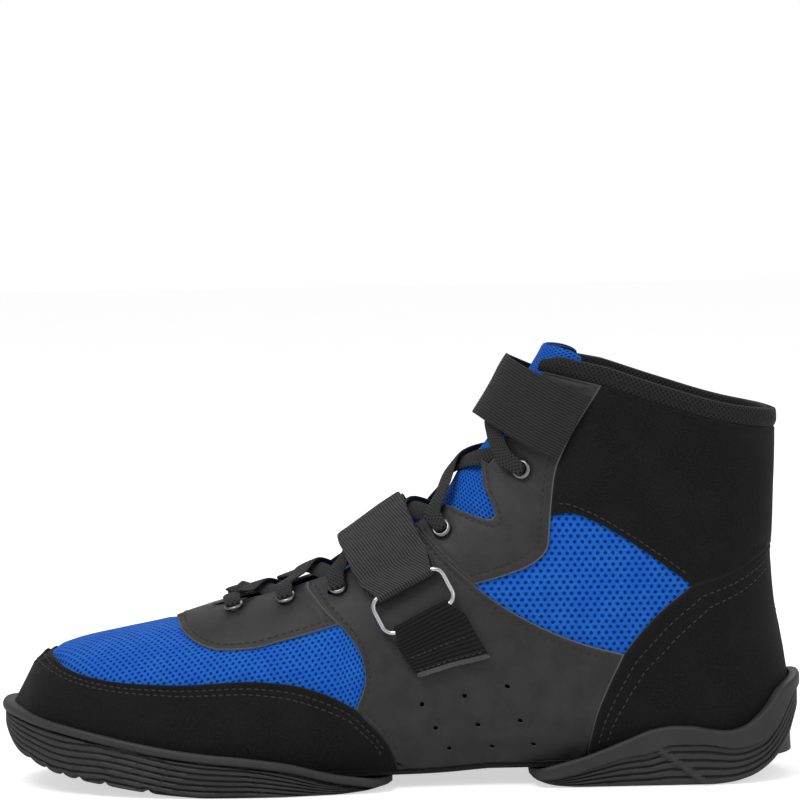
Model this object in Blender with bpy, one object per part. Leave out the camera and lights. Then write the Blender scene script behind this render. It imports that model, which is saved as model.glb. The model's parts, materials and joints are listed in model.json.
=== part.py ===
"""One high-top boxing boot with an instep strap and an ankle band, left foot, about EU size 42.

Frame: toe toward -X, heel toward +X, outer (lateral) side toward -Y, inner side toward +Y,
+Z up. The origin lies on the ground under the middle of the heel's flat tread.
Lengths are written in millimetres and turned into metres when a mesh is made.

The upper is laid on one reference surface, the outside of the upper. A place on it is (S, T):
S runs from the toe to the top of the shaft along fan-shaped sections, T runs round a section
from the front ridge (0) to the sole edge or the back line (GIRTH). Layers sit at offsets below
the surface, so each panel is cut from one of them.
"""

import math

import bmesh
import bpy
import numpy as np
from mathutils import Matrix, Vector
from mathutils.geometry import delaunay_2d_cdt

MM = 0.001

# Fan of sections: upright in front of the pivot, then turning about it up to the collar.
PIVOT_X = -109.0
PIVOT_Z = 172.0
FAN_RADIUS = 190.0
TOE_X = -230.0
GIRTH = 110.0

# Side outline of the upper (x, z): front ridge, sole edge and back line.
RIDGE = [
    (-230.0, 27.0), (-227.5, 36.5), (-223.0, 42.5), (-216.0, 48.5), (-206.0, 52.4), (-190.0, 56.4),
    (-170.0, 60.8), (-150.0, 67.0), (-130.0, 73.0), (-114.0, 79.5), (-101.0, 87.0), (-88.0, 96.5),
    (-76.0, 105.0), (-67.0, 114.5), (-59.5, 124.0), (-52.0, 135.0), (-45.0, 147.0), (-38.0, 158.5),
]
SOLE_EDGE = [
    (-230.0, 26.5), (-227.5, 21.5), (-222.0, 17.5), (-212.0, 14.0), (-198.0, 11.5), (-180.0, 9.6),
    (-160.0, 8.4), (-130.0, 7.6), (-108.0, 7.3), (-60.0, 8.2), (-42.0, 8.5),
    (-25.0, 8.9), (-8.0, 9.6), (12.0, 10.5), (24.0, 11.1), (34.0, 11.7), (41.0, 12.1), (46.0, 12.5),
]
BACK_LINE = [
    (10.0, 44.0), (12.5, 46.0), (16.0, 50.6), (21.0, 53.3), (28.0, 54.8), (34.0, 55.0), (43.0, 54.0),
    (54.0, 52.2), (65.0, 50.4), (78.0, 49.6), (95.0, 50.2), (110.0, 50.8), (128.0, 51.6), (150.0, 52.6),
]
HEEL_END = 46.0

# Half width of each section, depth over which its front rounds off, and its squareness.
HALF_WIDTH = [
    (-230.0, 0.5), (-228.0, 13.3), (-225.0, 19.6), (-219.0, 27.1), (-210.0, 33.9), (-196.0, 40.6),
    (-178.0, 44.6), (-158.0, 46.4), (-140.0, 46.0), (-122.0, 43.0), (-104.0, 39.0), (-80.0, 35.6),
    (-40.0, 33.0), (20.0, 32.0), (80.0, 32.0), (150.0, 33.0),
]
FRONT_DEPTH = [(-230.0, 1.0), (-110.0, 0.93), (-70.0, 0.62), (-10.0, 0.42), (60.0, 0.40), (150.0, 0.50)]
FRONT_POWER = [(-230.0, 2.3), (-150.0, 2.25), (-110.0, 2.1), (150.0, 2.1)]
BACK_DEPTH = [(10.0, 31.0), (40.0, 34.0), (80.0, 42.0), (150.0, 46.0)]
BACK_POWER = 2.3
WAIST_TUCK = [(-230.0, 0.05), (-130.0, 0.06), (-80.0, 0.16), (-10.0, 0.14), (40.0, 0.05), (150.0, 0.0)]
TUCK_HEIGHT = 20.0
TOE_SWING = 9.0

# Levels below the outside of the upper: (inner face, outer face).
SHELL = (-1.2, 0.0)
MESH = (-2.4, -1.5)
LINING = (-3.9, -2.7)
TONGUE_COVER = (-5.4, -4.4)
TONGUE_PADDING = (-8.2, -5.7)
SEAM = 0.4
UNDERLAP = 5.0

# Lines between the panels, side view (x, z).
CAP_EDGE = [
    (-216.0, 50.0), (-212.0, 46.2), (-203.0, 42.6), (-186.0, 40.4), (-168.0, 40.0), (-142.0, 41.2),
    (-128.0, 40.0), (-113.0, 35.5), (-103.0, 30.0),
]
CAP_REAR = [(-103.0, 30.0), (-99.0, 25.5), (-94.0, 20.0), (-90.5, 14.0), (-88.5, 7.0)]
FACING_LOW = [
    (-169.0, 60.5), (-166.0, 58.0), (-160.0, 54.2), (-152.0, 52.2), (-142.0, 52.6), (-128.0, 55.6),
    (-109.0, 60.4),
]
SADDLE_UP = [(-120.0, 72.5), (-114.5, 65.5), (-109.0, 60.4)]
SADDLE_DOWN = [(-109.0, 60.4), (-105.0, 56.0), (-100.5, 48.0), (-99.5, 41.0), (-103.0, 30.0)]
SADDLE_REAR = [
    (-82.0, 95.8), (-77.5, 91.0), (-70.0, 83.0), (-58.5, 72.5), (-46.0, 63.5), (-29.0, 54.8),
    (-17.5, 50.6), (-6.0, 47.6),
]
EYESTAY_LOW = [(-60.0, 74.0), (-47.0, 77.6), (-38.0, 81.4), (-33.0, 87.0), (-32.0, 98.0)]
EYESTAY_HIGH = [(-32.0, 98.0), (-30.2, 113.0), (-27.0, 121.5), (-13.0, 145.0)]
SUEDE_LOW = [(-32.0, 98.0), (-25.0, 99.2), (-17.0, 96.5), (-2.5, 88.0), (19.0, 72.2)]
COUNTER_TOP = [(49.6, 84.0), (37.0, 77.5), (19.0, 72.2)]
COUNTER_MIDDLE = [(19.0, 72.2), (7.0, 62.4), (-1.0, 54.0), (-6.0, 47.6)]
COUNTER_FRONT = [(-6.0, 47.6), (-11.5, 36.5), (-16.5, 24.5), (-19.5, 12.0)]
RIM_FRONT = [(-13.0, 145.0), (-36.0, 150.5)]
RIM_BACK = [(-13.0, 145.0), (9.0, 137.4), (34.0, 130.2), (51.6, 127.2)]
NOTCH = [
    (-56.5, 118.0), (-56.0, 109.6), (-52.8, 102.4), (-51.8, 98.4),
    (-54.0, 97.0), (-61.0, 99.0), (-68.5, 101.8),
]

STIFFENER_EDGE = [
    (50.2, 74.5), (37.0, 68.5), (24.0, 61.5), (13.0, 51.5),
    (5.0, 40.0), (-2.0, 30.0), (-5.0, 20.0),
]
# Padding behind the suede collar, clear of the seams.
FOAM_FRONT = [(-19.0, 104.5), (-17.5, 113.0), (-4.0, 136.5)]
FOAM_TOP = [(-4.0, 136.5), (10.0, 131.0), (34.0, 124.0), (50.9, 121.0)]
FOAM_LOW = [(50.2, 92.0), (36.0, 86.0), (23.0, 81.0)]
FOAM_MESH_EDGE = [(23.0, 81.0), (4.0, 94.0), (-10.0, 102.0), (-19.0, 104.5)]

# Half width of the throat (the lacing opening) at the points given by their ridge x.
THROAT = [(-152.0, 9.0), (-130.0, 12.5), (-100.0, 14.5), (-60.0, 15.5), (-20.0, 16.5), (150.0, 20.0)]
THROAT_FRONT_X = -157.0

EYELETS = [
    (-147.0, 62.5), (-128.0, 67.0), (-109.0, 74.0), (-90.0, 83.0),
    (-70.2, 91.8), (-44.5, 117.0), (-33.8, 137.7),
]
EYELET_HOLE = 3.05
EYELET_BARREL = 2.3
EYELET_BORE = 1.9
EYELET_RIM = 3.6
VENT_ROWS = [
    [(-79.3, 31.2), (-63.9, 33.8), (-48.4, 36.9)],
    [(-74.5, 22.3), (-59.3, 23.1), (-44.0, 24.3)],
    [(-69.7, 14.4), (-54.3, 14.7), (-39.3, 15.2)],
]
VENT_RADIUS = 0.8

# Webbing and strap hardware.
STRAP_WIDTH = 25.0
WEB = 0.9
RING_WIRE = 0.9
RING_LEVEL = 4.35

# Sole edge of the upper panels, tip of the toe, and where the throat meets the collar.
SOLE_LINE = GIRTH - 1.0
TIP = TOE_X + 0.35
RIM_AT_RIDGE = 134.0
SIDES = (("outer", 1.0), ("inner", -1.0))

# Linings meet at LINING_JOIN. Half width of the tongue, and its ends along S.
LINING_JOIN = -158.0
TONGUE_WIDTH = [(-168.0, 17.0), (-120.0, 22.0), (-40.0, 24.0), (60.0, 25.0), (160.0, 26.0)]
TONGUE_FOOT = -166.0
TONGUE_TOP = 160.0

# Soles. Heights (x, z) of the tread, the top of the wall, and the outline's half width.
FORE_TREAD = [
    (-234.0, 22.5), (-231.0, 17.5), (-227.0, 13.5), (-222.0, 11.0),
    (-214.0, 7.8), (-206.0, 6.0), (-192.0, 3.8),
    (-180.0, 2.0), (-168.0, 0.7), (-156.0, 0.0), (-112.0, 0.0), (-102.0, 0.7), (-94.0, 2.0), (-88.0, 3.2),
]
FORE_TOP = [
    (-234.0, 30.6), (-228.7, 29.6), (-222.0, 27.9), (-203.0, 24.0),
    (-188.0, 21.0), (-173.0, 18.2), (-159.0, 16.2), (-144.0, 14.6),
    (-128.0, 12.2), (-116.0, 8.9), (-108.0, 7.0), (-98.0, 5.5), (-90.0, 4.6), (-88.0, 4.5),
]
FORE_TIP = -234.0
FORE_END = -90.5
FORE_HALF = [(-150.0, 50.7), (-134.0, 49.8), (-120.0, 46.8), (-104.0, 42.8), (-88.0, 40.0)]
HEEL_TREAD = [
    (-41.0, 4.0), (-38.0, 2.2), (-30.0, 0.5), (-22.0, 0.0),
    (24.0, 0.0), (31.0, 0.5), (39.0, 2.3), (46.0, 6.0),
    (53.0, 13.0), (58.5, 24.0),
]
HEEL_TOP = [
    (-41.0, 6.0), (-32.0, 8.4), (-22.0, 11.0), (-14.0, 13.8), (-5.0, 17.4), (4.0, 20.7), (11.5, 21.8),
    (18.5, 21.5), (24.0, 20.5), (31.0, 19.7), (37.0, 20.8),
    (42.5, 24.0), (47.5, 28.5), (52.0, 33.5), (58.5, 37.0),
]
HEEL_FRONT = -41.0
HEEL_BACK = 59.4
HEEL_HALF = 35.4
POD_FLOOR = 3.3
WALL = [
    (-11.0, "tread", 0.0), (-3.0, "tread", 0.2), (-1.6, "tread", 2.2),
    (-1.2, "wall", 0.55), (-1.2, "wall", 0.8),
    (0.0, "wall", 0.86), (-0.2, "wall", 0.95), (-1.6, "wall", 1.0),
    (-3.0, "wall", 0.97), (-3.4, "floor", 0.0),
    (-12.0, "floor", 0.0),
]

# Instep strap: edges (x, z) on the outer side from the ridge down to the sewn end.
STRAP_FORE_EDGE = [(-104.5, 82.0), (-101.5, 75.5), (-97.0, 67.5), (-89.5, 54.9), (-81.3, 42.4)]
STRAP_REAR_EDGE = [(-81.0, 97.0), (-78.0, 90.0), (-73.3, 80.2), (-65.9, 68.0), (-55.2, 48.9)]
FRONT_BAR = [(-97.0, 67.5), (-73.3, 80.2)]
REAR_BAR = [(-89.5, 54.9), (-65.9, 68.0)]
RING_LONG = 27.6
RING_SHORT = 14.4
RING_CORNER = 1.9
PLY = 0.65 + WEB / 2
TAIL_RISE = 2.75
LOOP_RISE = 1.0
HOOK_RISE = 1.62
PATCH_THICK = 0.4
WRAP = RING_WIRE + 0.3 + WEB / 2

# Ankle band: corners (x, z) on the outer side.
BAND_RIDGE_LOW = 67.0
BAND_RIDGE_HIGH = 136.0
BAND_REAR = [(-29.1, 117.8), (-16.3, 140.9)]
BAND_HIGH = 5.15
BAND_LOW = 1.6

LACE_WIDTH = 7.0
LACE_THICK = 1.2
LACE_IN_EYELET = 2.5
LACE_UNDER = -2.9
LACE_OVER = 1.9

# Padded roll round the top of the shaft.
ROLL_LEVEL = -1.6
ROLL_THICK = 3.7
ROLL_TALL = 7.0

# Where the tongue tilts: side-view point over its sewn foot.
TONGUE_PIVOT = (-165.0, 56.0)


def curve(table, at):
    """Smooth interpolation, without overshoot, through (place, value) pairs; straight beyond the ends."""
    xs, ys = np.array(table, float).T
    gap = np.diff(xs)
    slope = np.diff(ys) / gap
    near, far = slope[:-1], slope[1:]
    same = near * far > 0
    weight_a = 2 * gap[1:] + gap[:-1]
    weight_b = gap[1:] + 2 * gap[:-1]
    safe_near = np.where(same, near, 1.0)
    safe_far = np.where(same, far, 1.0)
    middle = np.where(same, (weight_a + weight_b) / (weight_a / safe_near + weight_b / safe_far), 0.0)
    tangent = np.concatenate([[slope[0]], middle, [slope[-1]]])
    at = np.asarray(at, float)
    i = np.clip(np.searchsorted(xs, at) - 1, 0, len(xs) - 2)
    inside = np.clip((at - xs[i]) / gap[i], 0.0, 1.0)
    a = inside * inside * (3 - 2 * inside)
    b = inside * (1 - inside) ** 2
    c = inside * inside * (1 - inside)
    value = ys[i] * (1 - a) + ys[i + 1] * a + gap[i] * (tangent[i] * b - tangent[i + 1] * c)
    value = value + np.minimum(at - xs[0], 0.0) * slope[0] + np.maximum(at - xs[-1], 0.0) * slope[-1]
    return value


def from_toe(place):
    """Stretches the first millimetres of the toe, where the outlines turn upright."""
    return np.sqrt(np.maximum(np.asarray(place, float) - TOE_X, 0.0) + 0.2)


def toe_curve(table, at):
    return curve([(float(from_toe(place)), value) for place, value in table], from_toe(at))


def to_fan(x, z):
    """Side view (x, z) to (S, distance from the pivot)."""
    x = np.asarray(x, float)
    z = np.asarray(z, float)
    turn = np.arctan2(np.maximum(x - PIVOT_X, 0.0), PIVOT_Z - z)
    place = np.where(x <= PIVOT_X, x, PIVOT_X + FAN_RADIUS * turn)
    reach = np.where(x <= PIVOT_X, PIVOT_Z - z, np.hypot(x - PIVOT_X, PIVOT_Z - z))
    return place, reach


def from_fan(place, reach):
    turn = np.maximum(place - PIVOT_X, 0.0) / FAN_RADIUS
    x = np.minimum(place, PIVOT_X) + reach * np.sin(turn)
    return x, PIVOT_Z - reach * np.cos(turn)


def fan_table(points):
    places, reaches = to_fan(*np.array(points, float).T)
    return list(zip(places.tolist(), reaches.tolist()))


BACK_UP = [(x, z) for z, x in BACK_LINE if z > 12.5]
NEAR_REACH = fan_table(RIDGE)
FAR_REACH = fan_table(SOLE_EDGE + BACK_UP)
MERGE = float(to_fan(HEEL_END, 12.5)[0])
BACK_REACH = 2.0


def half_width(place, reach, near, far):
    x, z = from_fan(place, reach)
    depth = toe_curve(FRONT_DEPTH, place) * (far - near)
    power = toe_curve(FRONT_POWER, place)
    front = 1 - (1 - np.clip((reach - near) / depth, 0, 1)) ** power
    front = np.maximum(front, 0) ** (1 / power)
    behind = np.clip(curve(BACK_LINE, z) - x, 0, None)
    # Behind the sole's end the two sides meet on the back line.
    behind = np.where(place >= MERGE - 1e-6, np.minimum(behind, BACK_REACH * (far - reach)), behind)
    back = 1 - (1 - np.clip(behind / curve(BACK_DEPTH, z), 0, 1)) ** BACK_POWER
    back = np.maximum(back, 0) ** (1 / BACK_POWER)
    low = np.clip(1 - (far - reach) / TUCK_HEIGHT, 0, 1)
    tuck = 1 - toe_curve(WAIST_TUCK, place) * low * low
    return toe_curve(HALF_WIDTH, place) * front * back * tuck


def surface(place, around):
    """Points of the outside of the upper, in mm."""
    place = np.maximum(np.asarray(place, float), TOE_X)
    around = np.asarray(around, float)
    near = toe_curve(NEAR_REACH, place)
    far = toe_curve(FAR_REACH, place)
    share = (1 - np.cos(math.pi * np.clip(np.abs(around) / GIRTH, 0, 1))) / 2
    reach = near + share * (far - near)
    x, z = from_fan(place, reach)
    swing = TOE_SWING * (np.clip(-100.0 - x, 0, None) / 130.0) ** 1.6
    # Positive T is the outer side, which faces -Y.
    y = swing - np.sign(around) * half_width(place, reach, near, far)
    return np.stack([x, y, z], axis=-1)


def normals(place, around):
    """Outward unit normals of the surface."""
    step = 0.25
    along = surface(place + step, around) - surface(np.maximum(place - step, TOE_X), around)
    side = np.where(np.asarray(around, float) < 0, -1.0, 1.0)
    low = np.abs(around) - step
    high = np.minimum(np.abs(around) + step, GIRTH)
    over = surface(place, side * high) - surface(place, side * low)
    normal = -np.cross(along, over) * side[..., None]
    at_back = (np.abs(around) >= GIRTH - 1e-6) & (np.asarray(place, float) >= MERGE - 1e-6)
    # The two sides meet there, so the normal stays square to the line in the centre plane.
    square_on = np.stack([along[..., 2], np.zeros_like(along[..., 2]), -along[..., 0]], axis=-1)
    normal = np.where(at_back[..., None], square_on, normal)
    return normal / np.maximum(np.linalg.norm(normal, axis=-1, keepdims=True), 1e-9)


def place_of(x, z):
    """(S, T) on the outer side of a side-view point, T positive."""
    place, reach = to_fan(x, z)
    near = toe_curve(NEAR_REACH, place)
    far = toe_curve(FAR_REACH, place)
    share = np.clip((reach - near) / (far - near), 0, 1)
    return place, GIRTH / math.pi * np.arccos(1 - 2 * share)


def around_at_width(place, width):
    """T at which the upper is this far from its centre plane, near the front ridge."""
    low = np.zeros_like(place)
    high = np.full_like(place, GIRTH * 0.5)
    for _ in range(30):
        middle = (low + high) / 2
        near = toe_curve(NEAR_REACH, place)
        far = toe_curve(FAR_REACH, place)
        share = (1 - np.cos(math.pi * middle / GIRTH)) / 2
        wide = half_width(place, near + share * (far - near), near, far) > width
        high = np.where(wide, middle, high)
        low = np.where(wide, low, middle)
    return (low + high) / 2


# Lattice of the surface. All panels are cut from its flat facets, so that layers never cross.
TOE_PLACES = [TOE_X + 0.3 + 1.5 * n * n for n in range(7)]
BODY_PLACES = list(np.linspace(-158.0, MERGE - 12.0, 10)) + [MERGE - 3.0, MERGE]
SHAFT_PLACES = [MERGE + 9.0] + list(np.linspace(MERGE + 24.0, 166.0, 6))
PLACES = np.array(TOE_PLACES + BODY_PLACES + SHAFT_PLACES)
ROUNDS = np.linspace(-GIRTH, 3 * GIRTH, 37)


def wrapped(around, behind):
    """T from -GIRTH to 3 GIRTH folded back to one turn; `behind` settles the back line itself."""
    folded = np.where(around > GIRTH + 1e-6, around - 2 * GIRTH, around)
    on_line = np.abs(around - GIRTH) <= 1e-6
    return np.where(on_line & behind, -GIRTH, folded)


def lattice_points():
    grid_s, grid_t = np.meshgrid(PLACES, ROUNDS, indexing="ij")
    sheets = []
    for behind in (False, True):
        around = wrapped(grid_t, np.full(grid_t.shape, behind))
        sheets.append((surface(grid_s, around), normals(grid_s, around)))
    return sheets


LATTICE = lattice_points()


def on_lattice(place, around):
    """(points, normals) on the flat facets of the lattice at (S, T)."""
    place = np.atleast_1d(np.asarray(place, float))
    around = np.atleast_1d(np.asarray(around, float))
    i = np.clip(np.searchsorted(PLACES, place, side="right") - 1, 0, len(PLACES) - 2)
    j = np.clip(np.searchsorted(ROUNDS, around, side="right") - 1, 0, len(ROUNDS) - 2)
    a = np.clip((place - PLACES[i]) / (PLACES[i + 1] - PLACES[i]), 0, 1)[:, None]
    b = np.clip((around - ROUNDS[j]) / (ROUNDS[j + 1] - ROUNDS[j]), 0, 1)[:, None]
    behind = (around > GIRTH - 1e-6)[:, None]
    found = []
    for kind in (0, 1):
        corner = {}
        for di in (0, 1):
            for dj in (0, 1):
                front = LATTICE[0][kind][i + di, j + dj]
                back = LATTICE[1][kind][i + di, j + dj]
                corner[di, dj] = np.where(behind, back, front)
        upper = corner[0, 0] + a * (corner[1, 0] - corner[0, 0]) + b * (corner[1, 1] - corner[1, 0])
        lower = corner[0, 0] + b * (corner[0, 1] - corner[0, 0]) + a * (corner[1, 1] - corner[0, 1])
        found.append(np.where(a >= b, upper, lower))
    return found[0], found[1]


def lift(place, around, level):
    """Points above (+) or below (-) the surface by `level`."""
    points, outward = on_lattice(place, around)
    return points + outward * np.asarray(level, float).reshape(-1, 1)


def side_line(points, step=11.0):
    """A side-view line as (S, T) points, smoothed and evenly stepped."""
    points = np.array(points, float)
    run = np.concatenate([[0], np.cumsum(np.hypot(*np.diff(points, axis=0).T))])
    count = max(2, int(round(run[-1] / step)) + 1)
    at = np.linspace(0, run[-1], count)
    x = curve(list(zip(run, points[:, 0])), at)
    z = curve(list(zip(run, points[:, 1])), at)
    return list(zip(*place_of(x, z)))


def throat_line(first, last, count, extra=0.0):
    """The edge of the throat between two S places, moved back from the ridge by `extra`."""
    places = np.linspace(first, last, count)
    return list(zip(places, around_at_width(places, toe_curve(THROAT, places) + extra)))


def straight(start, end, step=8.0):
    length = math.hypot(end[0] - start[0], end[1] - start[1])
    count = max(1, int(round(length / step)))
    return [(start[0] + (end[0] - start[0]) * n / count, start[1] + (end[1] - start[1]) * n / count)
            for n in range(count)]


def joined(*runs):
    """One closed outline from runs of points; near-repeats are dropped."""
    outline = []
    for run in runs:
        for point in run:
            point = (float(point[0]), float(point[1]))
            if not outline or math.dist(point, outline[-1]) > 0.6:
                outline.append(point)
    while math.dist(outline[0], outline[-1]) <= 0.6:
        outline.pop()
    return outline


def mirrored(line):
    return [(place, -around) for place, around in line]


def behind_line(line):
    """The inner side's copy of an outer-side line, counted on past the back line."""
    return [(place, 2 * GIRTH - around) for place, around in line]


def signed_area(outline):
    return sum(a[0] * b[1] - b[0] * a[1] for a, b in zip(outline, outline[1:] + outline[:1])) / 2


def inset(outline, amount):
    """The outline moved inward by `amount`."""
    if signed_area(outline) < 0:
        outline = outline[::-1]
    moved = []
    for before, here, after in zip(outline[-1:] + outline[:-1], outline, outline[1:] + outline[:1]):
        first = Vector((here[0] - before[0], here[1] - before[1])).normalized()
        second = Vector((after[0] - here[0], after[1] - here[1])).normalized()
        side = Vector((-first.y - second.y, first.x + second.x))
        if side.length < 1e-6:
            side = Vector((-first.y, first.x))
        side.normalize()
        lean = max(0.5, side.dot(Vector((-first.y, first.x))))
        moved.append((here[0] + side.x * amount / lean, here[1] + side.y * amount / lean))
    return moved


def round_hole(place, around, radius, count):
    """A round hole of real radius about a place on the surface."""
    step = 0.5
    centre = surface(place, around)
    per_s = np.linalg.norm(surface(place + step, around) - centre) / step
    per_t = np.linalg.norm(surface(place, around + step) - centre) / step
    turns = [2 * math.pi * n / count for n in range(count)]
    return [(place + radius / per_s * math.cos(a), around + radius / per_t * math.sin(a)) for a in turns]


def new_object(name, vertices, faces, material, smooth=True):
    """A mesh object from millimetre points."""
    mesh = bpy.data.meshes.new(name)
    mesh.from_pydata([tuple(float(c) * MM for c in v) for v in vertices], [], faces)
    mesh.validate()
    shell = bmesh.new()
    shell.from_mesh(mesh)
    bmesh.ops.recalc_face_normals(shell, faces=shell.faces)
    if shell.calc_volume(signed=True) < 0:
        bmesh.ops.reverse_faces(shell, faces=shell.faces)
    shell.to_mesh(mesh)
    shell.free()
    mesh.polygons.foreach_set("use_smooth", [smooth] * len(mesh.polygons))
    mesh.materials.append(material)
    made = bpy.data.objects.new(name, mesh)
    bpy.context.collection.objects.link(made)
    return made


def move_origin(made, point):
    """Puts the object's origin on a point in mm and leaves its mesh in place."""
    at = Vector(point) * MM
    made.data.transform(Matrix.Translation(-at))
    made.location = at


def lattice_edges(outline):
    """Lattice lines that reach the outline's neighbourhood, as CDT points and edges."""
    lows = np.min(outline, axis=0)
    highs = np.max(outline, axis=0)
    i0 = max(int(np.searchsorted(PLACES, lows[0])) - 1, 0)
    i1 = min(int(np.searchsorted(PLACES, highs[0])) + 1, len(PLACES) - 1)
    j0 = max(int(np.searchsorted(ROUNDS, lows[1])) - 1, 0)
    j1 = min(int(np.searchsorted(ROUNDS, highs[1])) + 1, len(ROUNDS) - 1)
    points = []
    number = {}
    for i in range(i0, i1 + 1):
        for j in range(j0, j1 + 1):
            number[i, j] = len(points)
            points.append(Vector((PLACES[i], ROUNDS[j])))
    edges = []
    for (i, j), index in number.items():
        for step in ((1, 0), (0, 1), (1, 1)):
            other = number.get((i + step[0], j + step[1]))
            if other is not None:
                edges.append((index, other))
    return points, edges


def panel(name, outline, levels, material, holes=(), seam=SEAM):
    """A piece of one layer inside an (S, T) outline."""
    outline = inset(outline, seam / 2)
    points, edges = lattice_edges(outline)
    loops = [outline] + [list(hole) for hole in holes]
    faces = []
    for loop in loops:
        if signed_area(loop) < 0:
            loop = loop[::-1]
        start = len(points)
        points += [Vector(p) for p in loop]
        faces.append(list(range(start, start + len(loop))))
    found = delaunay_2d_cdt(points, edges, faces, 0, 0.12)
    flat, triangles, owners = found[0], found[2], found[5]
    kept = [tri for tri, owner in zip(triangles, owners) if 0 in owner and not any(o > 0 for o in owner)]
    used = sorted({v for tri in kept for v in tri})
    number = {v: n for n, v in enumerate(used)}
    kept = [tuple(number[v] for v in tri) for tri in kept]
    st = np.array([flat[v][:] for v in used])
    base, outward = on_lattice(st[:, 0], st[:, 1])
    vertices = np.concatenate([base + outward * levels[1], base + outward * levels[0]])
    count = len(used)
    sides = {}
    for tri in kept:
        for a, b in zip(tri, tri[1:] + tri[:1]):
            if (b, a) in sides:
                del sides[b, a]
            else:
                sides[a, b] = True
    faces = list(kept) + [tuple(v + count for v in reversed(tri)) for tri in kept]
    for a, b in sides:
        faces.append((b, a, a + count, b + count))
    return new_object(name, vertices, faces, material)


def loft(name, rings, material, smooth=True):
    """A closed ring of closed sections, each a list of points of the same count."""
    count = len(rings[0])
    vertices = [point for ring in rings for point in ring]
    faces = []
    for i in range(len(rings)):
        after = (i + 1) % len(rings)
        for j in range(count):
            beside = (j + 1) % count
            faces.append((i * count + j, i * count + beside, after * count + beside, after * count + j))
    return new_object(name, vertices, faces, material, smooth)


def sweep(name, sections, material):
    """An open run of closed sections with flat ends."""
    count = len(sections[0])
    vertices = [point for section in sections for point in section]
    faces = []
    for i in range(len(sections) - 1):
        for j in range(count):
            beside = (j + 1) % count
            faces.append((i * count + j, i * count + beside, (i + 1) * count + beside, (i + 1) * count + j))
    faces.append(tuple(range(count)))
    faces.append(tuple((len(sections) - 1) * count + j for j in reversed(range(count))))
    return new_object(name, vertices, faces, material)


def sheet(name, rows, outwards, thickness, material):
    """Webbing: rows of centre points across its width, with the way out at each row."""
    sections = []
    for row, outward in zip(rows, outwards):
        row = np.array(row)
        shift = np.array(outward) * thickness / 2
        sections.append(list(row + shift) + list((row - shift)[::-1]))
    return sweep(name, sections, material)


def material(name, colour, roughness, metallic=0.0):
    made = bpy.data.materials.new(name)
    made.use_nodes = True
    shader = made.node_tree.nodes["Principled BSDF"]
    shader.inputs["Base Color"].default_value = (*colour, 1.0)
    shader.inputs["Roughness"].default_value = roughness
    shader.inputs["Metallic"].default_value = metallic
    return made


def rubber():
    return material("rubber", (0.035, 0.035, 0.037), 0.6)


def suede():
    return material("suede", (0.011, 0.011, 0.011), 0.95)


def leather():
    return material("leather", (0.028, 0.028, 0.029), 0.55)


def mesh_cloth():
    return material("mesh_cloth", (0.010, 0.110, 0.640), 0.8)


def lining_cloth():
    return material("lining_cloth", (0.016, 0.016, 0.017), 0.9)


def foam():
    return material("foam", (0.05, 0.05, 0.05), 0.95)


def board():
    return material("board", (0.02, 0.02, 0.02), 0.85)


def webbing():
    return material("webbing", (0.014, 0.014, 0.015), 0.8)


def elastic():
    return material("elastic", (0.020, 0.020, 0.022), 0.8)


def steel():
    return material("steel", (0.72, 0.72, 0.74), 0.18, 1.0)


def eyelet_metal():
    return material("eyelet_metal", (0.05, 0.05, 0.055), 0.3, 1.0)


def sole_run(first, last, step=30.0):
    return straight((first, SOLE_LINE), (last, SOLE_LINE), step) + [(last, SOLE_LINE)]


def on_ridge(line):
    """A line whose first point is moved onto the front ridge."""
    return [(line[0][0], 0.0)] + line[1:]


def cap_outline():
    side = on_ridge(side_line(CAP_EDGE)) + side_line(CAP_REAR) + sole_run(side_line(CAP_REAR)[-1][0], TIP)
    return joined(side, mirrored(side)[::-1])


def vamp_outline():
    side = on_ridge(side_line(CAP_EDGE)) + side_line(SADDLE_DOWN)[::-1] + side_line(FACING_LOW)[::-1][:-1]
    side = side + [(float(to_fan(*FACING_LOW[0])[0]), 0.0)]
    return joined(side, mirrored(side)[::-1])


def facing_outline():
    up = side_line(SADDLE_UP)
    throat = throat_line(up[0][0], THROAT_FRONT_X + 5.0, 7)
    side = on_ridge(side_line(FACING_LOW)) + up[::-1] + throat
    side = side + [(THROAT_FRONT_X + 1.5, throat[-1][1] * 0.6), (THROAT_FRONT_X, 0.0)]
    return joined(side, mirrored(side)[::-1])


def saddle_rear():
    """The midfoot panel's rear edge, begun on the edge of the throat."""
    line = side_line(SADDLE_REAR)
    return throat_line(line[0][0], line[0][0], 1) + line[1:]


def midfoot_outline():
    up = side_line(SADDLE_UP)
    rear = saddle_rear()
    front = side_line(COUNTER_FRONT)
    sole = sole_run(side_line(CAP_REAR)[-1][0], front[-1][0])
    throat = throat_line(rear[0][0], up[0][0], 9)
    return joined(up, side_line(SADDLE_DOWN), side_line(CAP_REAR), sole, front[::-1], rear[::-1], throat)


def eyestay_outline():
    rear = [p for p in saddle_rear() if p[1] < side_line(EYESTAY_LOW)[0][1] - 1.0]
    notch = side_line(NOTCH, 5.0)
    top = throat_line(RIM_AT_RIDGE, notch[0][0] + 2.0, 6)
    low = throat_line(notch[-1][0] - 3.0, rear[0][0] + 2.0, 3)
    rim = side_line(RIM_FRONT)[:-1]
    return joined(rear, side_line(EYESTAY_LOW), side_line(EYESTAY_HIGH), rim, top, notch, low)


def quarter_outline():
    rear = saddle_rear()
    start = side_line(EYESTAY_LOW)[0][1]
    rear = [p for p in rear if p[1] >= start]
    middle = side_line(COUNTER_MIDDLE)
    return joined(side_line(EYESTAY_LOW), side_line(SUEDE_LOW), middle, rear[::-1])


def back_run(first, last, step=10.0):
    return straight((first, GIRTH), (last, GIRTH), step) + [(last, GIRTH)]


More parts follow.
